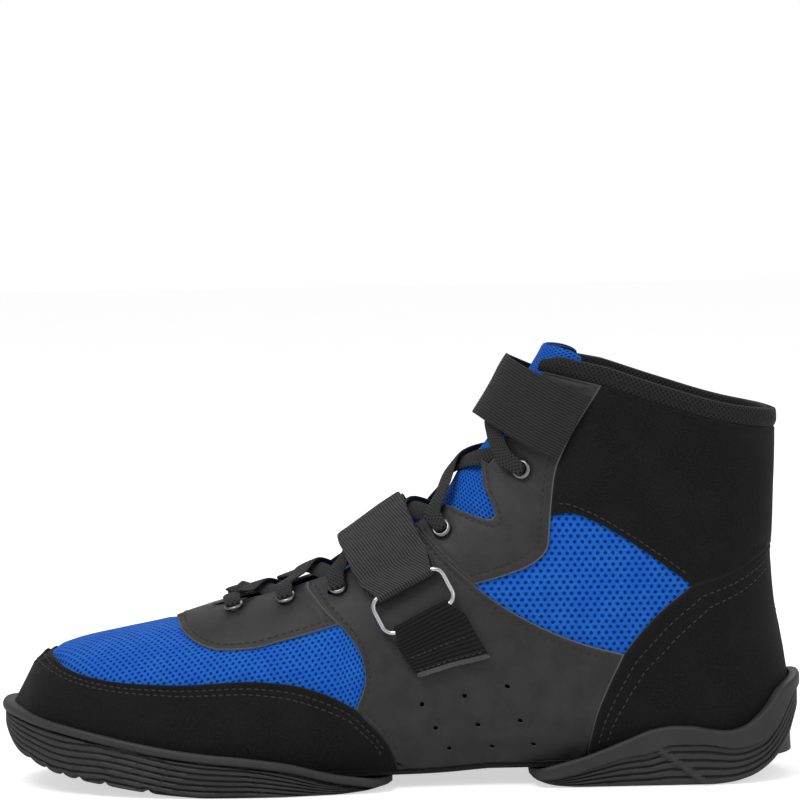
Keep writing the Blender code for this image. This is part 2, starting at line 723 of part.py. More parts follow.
def collar_outline():
    rim = side_line(RIM_BACK)[:-1]
    top = side_line(COUNTER_TOP)[1:]
    back_top = float(to_fan(*RIM_BACK[-1])[0])
    back_low = float(to_fan(*COUNTER_TOP[0])[0])
    return joined(side_line(EYESTAY_HIGH), rim, back_run(back_top, back_low), top, side_line(SUEDE_LOW)[::-1])


def foam_outline():
    top = float(to_fan(*FOAM_TOP[-1])[0])
    low = float(to_fan(*FOAM_LOW[0])[0])
    lines = [side_line(FOAM_FRONT), side_line(FOAM_TOP)[:-1], back_run(top, low)]
    return joined(*lines, side_line(FOAM_LOW)[1:], side_line(FOAM_MESH_EDGE))


def counter_outline():
    side = side_line(COUNTER_TOP) + side_line(COUNTER_MIDDLE) + side_line(COUNTER_FRONT)
    side[0] = (float(to_fan(*COUNTER_TOP[0])[0]), GIRTH)
    side = side + sole_run(side[-1][0], MERGE - 0.5) + [(MERGE + 1.5, GIRTH)]
    return joined(side, behind_line(side)[::-1])


def stiffener_outline():
    side = side_line(STIFFENER_EDGE)
    side[0] = (float(to_fan(*STIFFENER_EDGE[0])[0]), GIRTH)
    low = SOLE_LINE - 6.0
    side = side + [(side[-1][0], low), (MERGE - 6.0, low), (MERGE + 5.0, GIRTH)]
    return joined(side, behind_line(side)[::-1])


def eyelet_places():
    """(S, T) of the outer-side eyelets, a fixed distance back from the edge of the throat."""
    spots = []
    for x, z in EYELETS:
        place = float(to_fan(x, z)[0])
        width = toe_curve(THROAT, place) + 6.5
        around = around_at_width(np.array([place]), width)
        spots.append((place, float(around[0])))
    return spots


def eyelet_holes(numbers):
    spots = eyelet_places()
    return [round_hole(*spots[n], EYELET_HOLE, 8) for n in numbers]


def vent_holes():
    spots = [place_of(x, z) for row in VENT_ROWS for x, z in row]
    return [round_hole(float(place), float(around), VENT_RADIUS, 6) for place, around in spots]


def flipped(outline, side):
    return [(place, around * side) for place, around in outline]


def build_upper():
    suede_finish = suede()
    leather_finish = leather()
    cloth = mesh_cloth()
    inside = lining_cloth()
    padding = foam()
    stiff = board()
    panel("toe_cap", cap_outline(), SHELL, suede_finish)
    panel("toe_puff", inset(cap_outline(), 6.5), MESH, stiff)
    panel("vamp_mesh", inset(vamp_outline(), -UNDERLAP), MESH, cloth)
    holes = eyelet_holes([0, 1])
    panel("vamp_facing", facing_outline(), SHELL, leather_finish, holes + [flipped(h, -1.0) for h in holes])
    panel("heel_counter_cover", counter_outline(), SHELL, suede_finish)
    panel("heel_counter_stiffener", stiffener_outline(), MESH, stiff)
    for word, side in SIDES:
        holes = [flipped(h, side) for h in eyelet_holes([2, 3]) + vent_holes()]
        panel("midfoot_overlay_" + word, flipped(midfoot_outline(), side), SHELL, leather_finish, holes)
        holes = [flipped(h, side) for h in eyelet_holes([4, 5, 6])]
        panel("ankle_eyestay_" + word, flipped(eyestay_outline(), side), SHELL, leather_finish, holes)
        quarter = inset(quarter_outline(), -UNDERLAP)
        panel("quarter_mesh_" + word, flipped(quarter, side), MESH, cloth)
        panel("collar_quarter_" + word, flipped(collar_outline(), side), SHELL, suede_finish)
        panel("collar_foam_" + word, flipped(foam_outline(), side), MESH, padding)
        panel("quarter_lining_" + word, flipped(quarter_lining_outline(), side), LINING, inside)
    vamp = sole_run(LINING_JOIN, TIP)
    panel("vamp_lining", joined(vamp, mirrored(vamp)[::-1]), LINING, inside)
    pivot = (TONGUE_PIVOT[0], swing_at(TONGUE_PIVOT[0]), TONGUE_PIVOT[1])
    move_origin(panel("tongue_cover", tongue_outline(0.0), TONGUE_COVER, cloth), pivot)
    move_origin(panel("tongue_padding", tongue_outline(1.0), TONGUE_PADDING, padding), pivot)


def quarter_lining_outline():
    rim = float(to_fan(*RIM_BACK[-1])[0])
    throat = throat_line(RIM_AT_RIDGE, LINING_JOIN, 16, 12.0)
    sole = sole_run(LINING_JOIN, MERGE - 0.5)
    top = straight((rim, GIRTH), (RIM_AT_RIDGE, throat[0][1]), 9.0)
    return joined(sole, back_run(MERGE + 1.5, rim), top, throat)


def tongue_outline(narrower):
    places = np.linspace(TONGUE_FOOT + narrower, TONGUE_TOP - 8.0, 10)
    widths = toe_curve(TONGUE_WIDTH, places) - narrower
    side = list(zip(places, around_at_width(places, widths)))
    top = TONGUE_TOP - narrower
    side = [(places[0], 0.0)] + side + [(top - 3.0, side[-1][1] * 0.7), (top, 0.0)]
    return joined(side, mirrored(side)[::-1])


def fore_half(x):
    if x < -150.0:
        return 50.7 * max(0.0, 1 - ((-150.0 - x) / 84.0) ** 2.3) ** (1 / 2.3)
    return float(curve(FORE_HALF, x))


def heel_half(x):
    start = HEEL_BACK - 38.0
    if x > start:
        return HEEL_HALF * max(0.0, 1 - ((x - start) / 38.0) ** 2.35) ** (1 / 2.35)
    return HEEL_HALF + 1.2 * (start - x) / (start - HEEL_FRONT)


def swing_at(x):
    return TOE_SWING * max(0.0, (-100.0 - x) / 130.0) ** 1.6


def floor_height(x):
    return float(toe_curve([(px, pz) for px, pz in SOLE_EDGE], min(max(x, -229.0), 44.0))) - POD_FLOOR


def pod_outline(flat_end, round_end, half, count=14):
    """Plan outline: along the outer side, round the rounded end, back along the inner side."""
    side = []
    for n in range(count):
        turn = math.pi / 2 * (n / (count - 0.5))
        x = flat_end + (round_end - flat_end) * math.sin(turn)
        side.append((x, half(x)))
    outer = [(x, swing_at(x) - y) for x, y in side]
    inner = [(x, swing_at(x) + y) for x, y in side[::-1]]
    return outer + inner


def pod(name, flat_end, round_end, half, tread, top, finish):
    outline = pod_outline(flat_end, round_end, half)
    total = len(outline)
    clockwise = signed_area(outline) < 0
    rings = []
    for inward, kind, share in WALL:
        ring = []
        for n, (x, y) in enumerate(outline):
            before = outline[n - 1] if n else outline[0]
            after = outline[n + 1] if n + 1 < total else outline[-1]
            side = Vector((-(after[1] - before[1]), after[0] - before[0])).normalized()
            if clockwise:
                side = -side
            px = x - side.x * inward
            py = y - side.y * inward
            low = float(curve(tread, px if kind == "tread" else x))
            high = max(float(curve(top, x)), floor_height(x) + 0.3)
            if kind == "tread":
                height = min(low + share, (low + high) / 2)
            elif kind == "wall":
                height = low + (high - low) * share
            else:
                height = floor_height(px)
            ring.append((px, py, height))
        rings.append(ring)
    vertices = [point for ring in rings for point in ring]
    faces = []
    for i in range(len(rings) - 1):
        for j in range(total):
            beside = (j + 1) % total
            faces.append((i * total + j, i * total + beside, (i + 1) * total + beside, (i + 1) * total + j))
    for base in (0, (len(rings) - 1) * total):
        for j in range(total // 2 - 1):
            faces.append((base + j, base + j + 1, base + total - 2 - j, base + total - 1 - j))
    return new_object(name, vertices, faces, finish)


def plate(name, first, last, edge, top, bottom, finish, count=16):
    """A board that follows the sole edge: `edge` mm inside it, between two heights above it."""
    rows = []
    for n in range(count + 1):
        turn = math.pi * n / count
        place = first + (last - first) * (1 - math.cos(turn)) / 2
        point = surface(place, GIRTH)
        middle = swing_at(float(point[0]))
        half = max(abs(float(point[1]) - middle) - edge, 1.5)
        x, z = float(point[0]), float(point[2])
        rows.append([(x, middle + half * share, z) for share in (-1, 0, 1)])
    sections = []
    for row in rows:
        high = [(x, y, z + top) for x, y, z in row]
        low = [(x, y, z + bottom) for x, y, z in row[::-1]]
        sections.append(high + low)
    return sweep(name, sections, finish)


def build_soles():
    sole_rubber = rubber()
    pod("outsole_forefoot", FORE_END, FORE_TIP, fore_half, FORE_TREAD, FORE_TOP, sole_rubber)
    pod("outsole_heel", HEEL_FRONT, HEEL_BACK, heel_half, HEEL_TREAD, HEEL_TOP, sole_rubber)
    plate("insole_board", TOE_X + 2.5, MERGE - 2.5, 1.4, -0.4, -2.0, board())
    plate("insole_sock", TOE_X + 13.0, MERGE - 20.0, 8.0, 3.2, 0.5, lining_cloth())


def build_eyelets():
    finish = eyelet_metal()
    profile = [
        (EYELET_BORE, -1.2), (EYELET_BARREL, -1.1), (EYELET_BARREL, 1.0), (EYELET_RIM, 1.1),
        (EYELET_RIM - 0.5, 1.6), (EYELET_BORE, 1.5),
    ]
    for number, (place, around) in enumerate(eyelet_places(), start=1):
        for word, side in SIDES:
            centre, outward = on_lattice(place, around * side)
            axis = Vector(outward[0]).normalized()
            across = axis.orthogonal().normalized()
            beside = axis.cross(across)
            sections = []
            for n in range(8):
                turn = 2 * math.pi * n / 8
                ray = across * math.cos(turn) + beside * math.sin(turn)
                sections.append([Vector(centre[0]) + ray * r + axis * h for r, h in profile])
            loft("eyelet_%s_%d" % (word, number), sections, finish)


def across(fore, rear, count=4):
    """(S, T) points from one edge of a strap to the other."""
    return [(fore[0] + (rear[0] - fore[0]) * n / count, fore[1] + (rear[1] - fore[1]) * n / count)
            for n in range(count + 1)]


def row_at(pair, level, side=1.0, count=4):
    """A row of points across a strap, and the way out of the surface at its middle."""
    spots = across(*pair, count)
    points = []
    for place, around in spots:
        points.append(lift(place, around * side, level)[0])
    outward = on_lattice(spots[count // 2][0], spots[count // 2][1] * side)[1][0]
    return points, outward / np.linalg.norm(outward)


def strap_pairs(first, last, count):
    """Edge pairs of the instep strap; 0 is the ridge, 1 the front bar, 2 the rear bar, 3 the sewn end."""
    fore = [(float(s), float(t)) for s, t in zip(*place_of(*np.array(STRAP_FORE_EDGE).T))]
    rear = [(float(s), float(t)) for s, t in zip(*place_of(*np.array(STRAP_REAR_EDGE).T))]
    marks = [0.25, 0.6, 1.0, 2.0, 3.0]
    fore = [(fore[0][0], 0.0)] + fore
    rear = [(rear[0][0], 0.0)] + rear
    marks = [0.0] + marks
    pairs = []
    for at in np.linspace(first, last, count):
        ends = []
        for line in (fore, rear):
            ends.append(tuple(float(np.interp(at, marks, [p[k] for p in line])) for k in (0, 1)))
        pairs.append(ends)
    return pairs


def strap_level(at):
    """Height of the strap's middle over the upper: clear of the lacing, then down on the side."""
    return float(np.interp(at, [0.0, 0.6, 0.92], [5.0, 4.9, PLY]))


def middle_of(pair, level):
    points, outward = row_at([tuple(map(float, place_of(*p))) for p in pair], level)
    return np.mean([points[0], points[-1]], axis=0), outward


def ring_frame():
    """Centre of the ring, its long direction, the way from its rear bar to its front bar, and outward."""
    front, _ = middle_of(FRONT_BAR, RING_LEVEL)
    rear, _ = middle_of(REAR_BAR, RING_LEVEL)
    ends = [lift(*map(float, place_of(*p)), RING_LEVEL)[0] for p in FRONT_BAR + REAR_BAR]
    along = Vector(ends[1] - ends[0] + ends[3] - ends[2]).normalized()
    up = Vector(front - rear)
    up = (up - along * up.dot(along)).normalized()
    outward = along.cross(up).normalized()
    if outward.y > 0:
        outward = -outward
    return Vector((front + rear) / 2), along, up, outward


def ring_bars():
    """Middles of the ring's front bar, where the strap tail turns, and rear bar, where the ring turns."""
    centre, _, up, _ = ring_frame()
    return centre + up * RING_SHORT / 2, centre - up * RING_SHORT / 2


def build_ring(finish):
    centre, along, up, _ = ring_frame()
    path = []
    half_long = RING_LONG / 2 - RING_CORNER
    half_short = RING_SHORT / 2 - RING_CORNER
    for corner, (sx, sy) in enumerate(((1, 1), (-1, 1), (-1, -1), (1, -1))):
        for n in range(4):
            turn = math.pi / 2 * (corner + n / 3)
            ray = along * math.cos(turn) + up * math.sin(turn)
            path.append((centre + along * half_long * sx + up * half_short * sy + ray * RING_CORNER, ray))
    out = along.cross(up)
    sections = []
    for point, ray in path:
        angles = [2 * math.pi * n / 8 for n in range(8)]
        sections.append([point + (ray * math.cos(a) + out * math.sin(a)) * RING_WIRE for a in angles])
    move_origin(loft("strap_ring", sections, finish), ring_bars()[1])


def wrap_rows(bar, toward, outward, first, last, count):
    """Rows of webbing turning about a bar, angles in degrees from `toward` to `outward`."""
    _, along, _, _ = ring_frame()
    rows = []
    outs = []
    half = STRAP_WIDTH / 2 - 0.6
    for degrees in np.linspace(first, last, count):
        angle = math.radians(degrees)
        ray = toward * math.cos(angle) + outward * math.sin(angle)
        rows.append([tuple(bar + ray * WRAP + along * half * (n / 2 - 1)) for n in range(5)])
        outs.append(tuple(ray))
    return rows, outs


def build_strap(finish):
    _, _, up, outward = ring_frame()
    front_bar, rear_bar = ring_bars()
    rows = []
    outs = []
    for at in np.linspace(3.0, 0.0, 19):
        row, out = row_at(strap_pairs(at, at, 1)[0], strap_level(at), -1.0)
        rows.append(row)
        outs.append(out)
    for at in np.linspace(0.0, 1.12, 9)[1:]:
        row, out = row_at(strap_pairs(at, at, 1)[0], strap_level(at))
        rows.append(row)
        outs.append(out)
    sheet("instep_strap", rows, outs, WEB, finish)

    rows, outs = wrap_rows(front_bar, -up, outward, -50.0, 90.0, 6)
    for at in np.linspace(0.8, 0.12, 7):
        row, out = row_at(strap_pairs(at, at, 1)[0], strap_level(at) + TAIL_RISE)
        rows.append(row)
        outs.append(out)
    move_origin(sheet("instep_strap_tail", rows, outs, WEB, finish), front_bar)

    rows = []
    outs = []
    for pair in strap_pairs(3.0, 2.25, 5):
        row, out = row_at(pair, PLY)
        rows.append(row)
        outs.append(out)
    around, rays = wrap_rows(rear_bar, up, outward, -90.0, 90.0, 7)
    # Rows under the bar face inward, so the run keeps the same side out all the way round.
    rows += around
    outs = [tuple(-np.array(o)) for o in outs] + rays
    for number, pair in enumerate(strap_pairs(2.3, 3.0, 5)):
        row, out = row_at(pair, PLY + WEB + 0.35 + (1.0 if number == 0 else 0.0))
        rows.append(row)
        outs.append(out)
    sheet("ring_keeper", rows, outs, WEB, finish)


def patch(name, rise, thickness, finish):
    """A hook or loop patch on the strap, drawn in from the webbing's edges."""
    rows = []
    outs = []
    for at in np.linspace(0.62, 0.2, 6):
        spots = across(*strap_pairs(at, at, 1)[0], 100)
        row, out = row_at([spots[8], spots[92]], strap_level(at) + rise)
        rows.append(row)
        outs.append(out)
    return sheet(name, rows, outs, thickness, finish)


def build_fasteners(loop_finish, hook_finish):
    patch("strap_loop_patch", LOOP_RISE, PATCH_THICK, loop_finish)
    move_origin(patch("strap_hook_patch", HOOK_RISE, PATCH_THICK, hook_finish), ring_bars()[0])


def band_pairs(first, last, count):
    """Edge pairs of the ankle band, from the front ridge (0) to its rear end (1)."""
    rear_low = tuple(map(float, place_of(*BAND_REAR[0])))
    rear_high = tuple(map(float, place_of(*BAND_REAR[1])))
    pairs = []
    for at in np.linspace(first, last, count):
        low = (BAND_RIDGE_LOW + (rear_low[0] - BAND_RIDGE_LOW) * at, rear_low[1] * at)
        high = (BAND_RIDGE_HIGH + (rear_high[0] - BAND_RIDGE_HIGH) * at, rear_high[1] * at)
        pairs.append([low, high])
    return pairs


def band_level(at):
    return float(np.interp(at, [0.0, 0.8, 1.0], [BAND_HIGH, BAND_HIGH - 0.6, BAND_LOW]))


def build_band(finish):
    """Elastic sewn in at both rear seams and drawn over the lacing."""
    rows = []
    outs = []
    for at in np.linspace(-1.0, 1.0, 19):
        side = -1.0 if at < 0 else 1.0
        row, out = row_at(band_pairs(abs(at), abs(at), 1)[0], band_level(abs(at)), side)
        rows.append(row)
        outs.append(out)
    sheet("ankle_band", rows, outs, WEB, finish)


def lace_path():
    """Runs of (S, T, level, width, thickness) for the whole lace, one end to the other."""
    spots = eyelet_places()

    def hole(side, number, rising):
        place, around = spots[number]
        inner = (place, (around - 2.6) * side, LACE_UNDER, 4.0, 1.2)
        turn = (place, (around - 0.2) * side, LACE_UNDER + 0.35, LACE_IN_EYELET, 1.4)
        bore = [(place, around * side, level, LACE_IN_EYELET, 1.7) for level in (-1.4, 0.6)]
        top = (place, (around - 0.2) * side, 2.8, 2.2, 1.2)
        away = (place, (around - 4.5) * side, LACE_OVER + 1.15, 5.0, LACE_THICK)
        points = [inner, turn] + bore + [top, away]
        return points if rising else points[::-1]

    def crossing(side, number, over):
        here, there = spots[number], spots[number + 1]
        edge = 0.45
        level = LACE_OVER + 0.4 if over else 0.2
        points = []
        for at, height in ((edge, LACE_OVER if over else 1.2), (0.0, level), (-edge, -1.3 if over else -1.8)):
            share = 0.5 - at * 0.62
            place = here[0] + (there[0] - here[0]) * share
            around = (here[1] if at > 0 else there[1]) * at * side
            points.append((place, around, height, LACE_WIDTH, LACE_THICK))
        place = here[0] + (there[0] - here[0]) * 0.93
        points.append((place, -there[1] * 0.72 * side, LACE_UNDER, 5.5, LACE_THICK))
        return points

    def climb(side):
        run = []
        for number in range(len(spots) - 1):
            run += hole(side, number, True) + crossing(side, number, side > 0)
            side = -side
        run += hole(side, len(spots) - 1, True)
        place, around = spots[-1]
        run.append((place + 6.0, around * 0.5 * side, 1.6, LACE_WIDTH, LACE_THICK))
        run.append((place + 10.0, around * 0.2 * side, 1.3, LACE_WIDTH - 1.0, LACE_THICK))
        return run

    place, around = spots[0]
    bar = [(place, around * share, LACE_UNDER + 0.4, LACE_WIDTH, LACE_THICK) for share in (0.5, 0.0, -0.5)]
    return climb(1.0)[::-1] + bar + climb(-1.0)


def build_lace(finish):
    path = lace_path()
    points = [Vector(lift(p[0], p[1], p[2])[0]) for p in path]
    uphill = []
    for place, around, _, _, _ in path:
        uphill.append(Vector(surface(place + 1.0, around) - surface(place - 1.0, around)).normalized())
    sections = []
    for n, (_, _, _, width, thick) in enumerate(path):
        before = points[max(n - 1, 0)]
        after = points[min(n + 1, len(points) - 1)]
        ahead = (after - before).normalized()
        wide = (uphill[n] - ahead * uphill[n].dot(ahead)).normalized()
        deep = ahead.cross(wide)
        shape = [(-0.5, 0), (-0.38, 0.5), (0.38, 0.5), (0.5, 0), (0.38, -0.5), (-0.38, -0.5)]
        sections.append([points[n] + wide * width * a + deep * thick * b for a, b in shape])
    sweep("lace", sections, finish)


def build_collar(finish):
    """Padded roll round the top of the shaft, above the quarters' top seam."""
    rear = side_line(RIM_BACK, 8.0)
    front = side_line(RIM_FRONT, 8.0)
    line = front[::-1][:-1] + rear[:-1] + [(rear[-1][0], GIRTH)]
    line = [p for p, after in zip(line, line[1:]) if math.dist(p, after) > 3.0] + line[-1:]
    full = line + behind_line(line[:-1])[::-1]
    sections = []
    for place, around in full:
        base, outward = on_lattice(place, around)
        higher, _ = on_lattice(min(place + 6.0, PLACES[-1]), around)
        up = Vector(higher[0] - base[0]).normalized()
        out = Vector(outward[0]).normalized()
        middle = Vector(base[0]) + out * ROLL_LEVEL + up * (ROLL_TALL / 2 + 0.5)
        ring = []
        for n in range(8):
            turn = 2 * math.pi * (n + 0.5) / 8
            a, b = math.cos(turn), math.sin(turn)
            square = 1 / max(abs(a), abs(b)) ** 0.55
            ring.append(middle + out * a * square * ROLL_THICK / 2 + up * b * square * ROLL_TALL / 2)
        sections.append(ring)
    sweep("collar_roll", sections, finish)


if __name__ == "__main__":
    for old in list(bpy.data.objects):
        bpy.data.objects.remove(old)
    build_upper()
    build_collar(material("collar_cloth", (0.012, 0.012, 0.012), 0.85))
    build_soles()
    build_eyelets()
    build_ring(steel())
    build_strap(webbing())
    build_band(elastic())
    loop_pile = material("loop_pile", (0.02, 0.02, 0.02), 0.95)
    build_fasteners(loop_pile, material("hook_tape", (0.025, 0.025, 0.025), 0.6))
    build_lace(webbing())
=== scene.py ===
"""Looks of a high-top boxing boot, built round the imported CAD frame.

Lengths in the functions below are millimetres, turned into metres when a mesh is made. The boot
uses the CAD's own reference surface: S runs from the toe to the top of the shaft, T round each
section from the front ridge (0) to the sole edge or the back line (GIRTH), and a level is a height
above that surface.
"""

import json
import math

import bmesh
import bpy
import numpy as np
from mathutils import Matrix, Vector
from mathutils.geometry import delaunay_2d_cdt

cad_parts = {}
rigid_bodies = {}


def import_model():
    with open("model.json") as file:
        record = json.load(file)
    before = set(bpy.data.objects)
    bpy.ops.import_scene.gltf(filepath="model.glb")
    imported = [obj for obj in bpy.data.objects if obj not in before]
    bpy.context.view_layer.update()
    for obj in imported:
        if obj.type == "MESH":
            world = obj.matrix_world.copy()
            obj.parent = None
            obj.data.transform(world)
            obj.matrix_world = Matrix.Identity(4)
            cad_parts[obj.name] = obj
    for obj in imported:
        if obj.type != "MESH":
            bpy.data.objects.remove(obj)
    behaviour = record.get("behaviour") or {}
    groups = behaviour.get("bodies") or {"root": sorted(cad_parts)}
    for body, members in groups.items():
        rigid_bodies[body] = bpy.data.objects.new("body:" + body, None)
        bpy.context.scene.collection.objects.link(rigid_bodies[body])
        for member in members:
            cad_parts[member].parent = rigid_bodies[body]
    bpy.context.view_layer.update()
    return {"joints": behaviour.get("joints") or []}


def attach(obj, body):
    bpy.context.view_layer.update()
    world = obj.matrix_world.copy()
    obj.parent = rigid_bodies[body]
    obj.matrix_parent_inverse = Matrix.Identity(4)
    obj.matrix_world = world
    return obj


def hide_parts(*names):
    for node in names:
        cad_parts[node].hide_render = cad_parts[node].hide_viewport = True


for old in list(bpy.data.objects):
    bpy.data.objects.remove(old)

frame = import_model()


# Fine detail of the finished boot, in mm.
VAMP_MESH_PITCH = 2.3
QUARTER_MESH_PITCH = 2.75
TWILL_PITCH = 1.05
GROSGRAIN_PITCH = 1.5
BAND_PITCH = 1.05
FORE_GROOVES = 6.0
HEEL_BAND = [
    (-41.0, 2.5), (-30.7, 3.7), (-14.9, 8.2), (-7.1, 10.6), (2.0, 12.0), (11.3, 15.0), (21.9, 14.9),
    (34.7, 13.2), (44.6, 15.6), (49.8, 20.6), (56.6, 31.1), (60.0, 34.0),
]
HEEL_BAR = ((5.4, 13.7), (18.0, 4.3))
HEEL_GROOVES = 5.0
TREAD_NOTCHES = (-224.0, -217.5, -211.0, -205.0, -195.0, -179.0)

# View of the boot: metres, degrees.
CAMERA_TARGET = (-0.0854, 0.0, 0.1389)
CAMERA_DISTANCE = 1.7
CAMERA_ELEVATION = 4.0
CAMERA_ROLL = -1.0
IMAGE_WIDTH = 0.293
WORLD_LIGHT = 0.42
FLOOR_GLOW = 0.6

RING_BEND = 4.0
SOLE_CORNER = 10.0
THROAT_SWELL = 1.5
THROAT_MESH = 6.0


MM = 0.001

# Fan of sections: upright in front of the pivot, then turning about it up to the collar.
PIVOT_X = -109.0
PIVOT_Z = 172.0
FAN_RADIUS = 190.0
TOE_X = -230.0
GIRTH = 110.0

# Side outline of the upper (x, z): front ridge, sole edge and back line.
RIDGE = [
    (-230.0, 27.0), (-227.5, 36.5), (-223.0, 42.5), (-216.0, 48.5), (-206.0, 52.4), (-190.0, 56.4),
    (-170.0, 60.8), (-150.0, 67.0), (-130.0, 73.0), (-114.0, 79.5), (-101.0, 87.0), (-88.0, 96.5),
    (-76.0, 105.0), (-67.0, 114.5), (-59.5, 124.0), (-52.0, 135.0), (-45.0, 147.0), (-38.0, 158.5),
]
SOLE_EDGE = [
    (-230.0, 26.5), (-227.5, 21.5), (-222.0, 17.5), (-212.0, 14.0), (-198.0, 11.5), (-180.0, 9.6),
    (-160.0, 8.4), (-130.0, 7.6), (-108.0, 7.3), (-60.0, 8.2), (-42.0, 8.5),
    (-25.0, 8.9), (-8.0, 9.6), (12.0, 10.5), (24.0, 11.1), (34.0, 11.7), (41.0, 12.1), (46.0, 12.5),
]
BACK_LINE = [
    (10.0, 44.0), (12.5, 46.0), (16.0, 50.6), (21.0, 53.3), (28.0, 54.8), (34.0, 55.0), (43.0, 54.0),
    (54.0, 52.2), (65.0, 50.4), (78.0, 49.6), (95.0, 50.2), (110.0, 50.8), (128.0, 51.6), (150.0, 52.6),
]
HEEL_END = 46.0

# Half width of each section, depth over which its front rounds off, and its squareness.
HALF_WIDTH = [
    (-230.0, 0.5), (-228.0, 13.3), (-225.0, 19.6), (-219.0, 27.1), (-210.0, 33.9), (-196.0, 40.6),
    (-178.0, 44.6), (-158.0, 46.4), (-140.0, 46.0), (-122.0, 43.0), (-104.0, 39.0), (-80.0, 35.6),
    (-40.0, 33.0), (20.0, 32.0), (80.0, 32.0), (150.0, 33.0),
]
FRONT_DEPTH = [(-230.0, 1.0), (-110.0, 0.93), (-70.0, 0.62), (-10.0, 0.42), (60.0, 0.40), (150.0, 0.50)]
FRONT_POWER = [(-230.0, 2.3), (-150.0, 2.25), (-110.0, 2.1), (150.0, 2.1)]
BACK_DEPTH = [(10.0, 31.0), (40.0, 34.0), (80.0, 42.0), (150.0, 46.0)]
BACK_POWER = 2.3
WAIST_TUCK = [(-230.0, 0.05), (-130.0, 0.06), (-80.0, 0.16), (-10.0, 0.14), (40.0, 0.05), (150.0, 0.0)]
TUCK_HEIGHT = 20.0
TOE_SWING = 9.0

# Levels of the layers below the outside of the upper: the outer face, then the inner face (floor).
SHELL_FLOOR = -1.2
BOARD_LEVEL = -1.5
MESH_FLOOR = -2.4
LINING_LEVEL = -2.7
LINING_FLOOR = -3.9
TONGUE_LEVEL = -4.4
TONGUE_FLOOR = -5.4
PAD_LEVEL = -5.7
PAD_FLOOR = -8.2

# How far a mesh panel runs on under its neighbours, and rings of points beside a leather panel's edge.
UNDERLAP = 5.0
LEATHER_RINGS = (0.2, 0.5, 0.9, 1.6, 2.2, 2.8)

# Lines between the panels, side view (x, z).
CAP_EDGE = [
    (-216.0, 50.0), (-212.0, 46.2), (-203.0, 42.6), (-186.0, 40.4), (-168.0, 40.0), (-142.0, 41.2),
    (-128.0, 40.0), (-113.0, 35.5), (-103.0, 30.0),
]
CAP_REAR = [(-103.0, 30.0), (-99.0, 25.5), (-94.0, 20.0), (-90.5, 14.0), (-88.5, 7.0)]
FACING_LOW = [
    (-169.0, 60.5), (-166.0, 58.0), (-160.0, 54.2), (-152.0, 52.2), (-142.0, 52.6), (-128.0, 55.6),
    (-109.0, 60.4),
]
SADDLE_UP = [(-120.0, 72.5), (-114.5, 65.5), (-109.0, 60.4)]
SADDLE_DOWN = [(-109.0, 60.4), (-105.0, 56.0), (-100.5, 48.0), (-99.5, 41.0), (-103.0, 30.0)]
SADDLE_REAR = [
    (-82.0, 95.8), (-77.5, 91.0), (-70.0, 83.0), (-58.5, 72.5), (-46.0, 63.5), (-29.0, 54.8),
    (-17.5, 50.6), (-6.0, 47.6),
]
EYESTAY_LOW = [(-60.0, 74.0), (-47.0, 77.6), (-38.0, 81.4), (-33.0, 87.0), (-32.0, 98.0)]
EYESTAY_HIGH = [(-32.0, 98.0), (-30.2, 113.0), (-27.0, 121.5), (-13.0, 145.0)]
SUEDE_LOW = [(-32.0, 98.0), (-25.0, 99.2), (-17.0, 96.5), (-2.5, 88.0), (19.0, 72.2)]
COUNTER_TOP = [(49.6, 84.0), (37.0, 77.5), (19.0, 72.2)]
COUNTER_MIDDLE = [(19.0, 72.2), (7.0, 62.4), (-1.0, 54.0), (-6.0, 47.6)]
COUNTER_FRONT = [(-6.0, 47.6), (-11.5, 36.5), (-16.5, 24.5), (-19.5, 12.0)]
RIM_FRONT = [(-13.0, 145.0), (-36.0, 150.5)]
RIM_BACK = [(-13.0, 145.0), (9.0, 137.4), (34.0, 130.2), (51.6, 127.2)]
NOTCH = [
    (-56.5, 118.0), (-56.0, 109.6), (-52.8, 102.4), (-51.8, 98.4),
    (-54.0, 97.0), (-61.0, 99.0), (-68.5, 101.8),
]

STIFFENER_EDGE = [
    (50.2, 74.5), (37.0, 68.5), (24.0, 61.5), (13.0, 51.5),
    (5.0, 40.0), (-2.0, 30.0), (-5.0, 20.0),
]
# Padding behind the suede collar, clear of the seams.
FOAM_FRONT = [(-19.0, 104.5), (-17.5, 113.0), (-4.0, 136.5)]
FOAM_TOP = [(-4.0, 136.5), (10.0, 131.0), (34.0, 124.0), (50.9, 121.0)]
FOAM_LOW = [(50.2, 92.0), (36.0, 86.0), (23.0, 81.0)]
FOAM_MESH_EDGE = [(23.0, 81.0), (4.0, 94.0), (-10.0, 102.0), (-19.0, 104.5)]

# Half width of the throat (the lacing opening) at the points given by their ridge x.
THROAT = [(-152.0, 9.0), (-130.0, 12.5), (-100.0, 14.5), (-60.0, 15.5), (-20.0, 16.5), (150.0, 20.0)]
THROAT_FRONT_X = -157.0

EYELETS = [
    (-147.0, 62.5), (-128.0, 67.0), (-109.0, 74.0), (-90.0, 83.0),
    (-70.2, 91.8), (-44.5, 117.0), (-33.8, 137.7),
]
EYELET_HOLE = 2.5
EYELET_BARREL = 2.3
EYELET_BORE = 1.9
EYELET_RIM = 3.6
VENT_ROWS = [
    [(-79.3, 31.2), (-63.9, 33.8), (-48.4, 36.9)],
    [(-74.5, 22.3), (-59.3, 23.1), (-44.0, 24.3)],
    [(-69.7, 14.4), (-54.3, 14.7), (-39.3, 15.2)],
]
VENT_RADIUS = 0.9

# Webbing and strap hardware.
STRAP_WIDTH = 25.0
WEB = 0.9
RING_WIRE = 0.9

# Sole edge of the upper panels, tip of the toe, and where the throat meets the collar.
SOLE_LINE = GIRTH - 1.0
TIP = TOE_X + 0.35
RIM_AT_RIDGE = 134.0
SIDES = (("outer", 1.0), ("inner", -1.0))

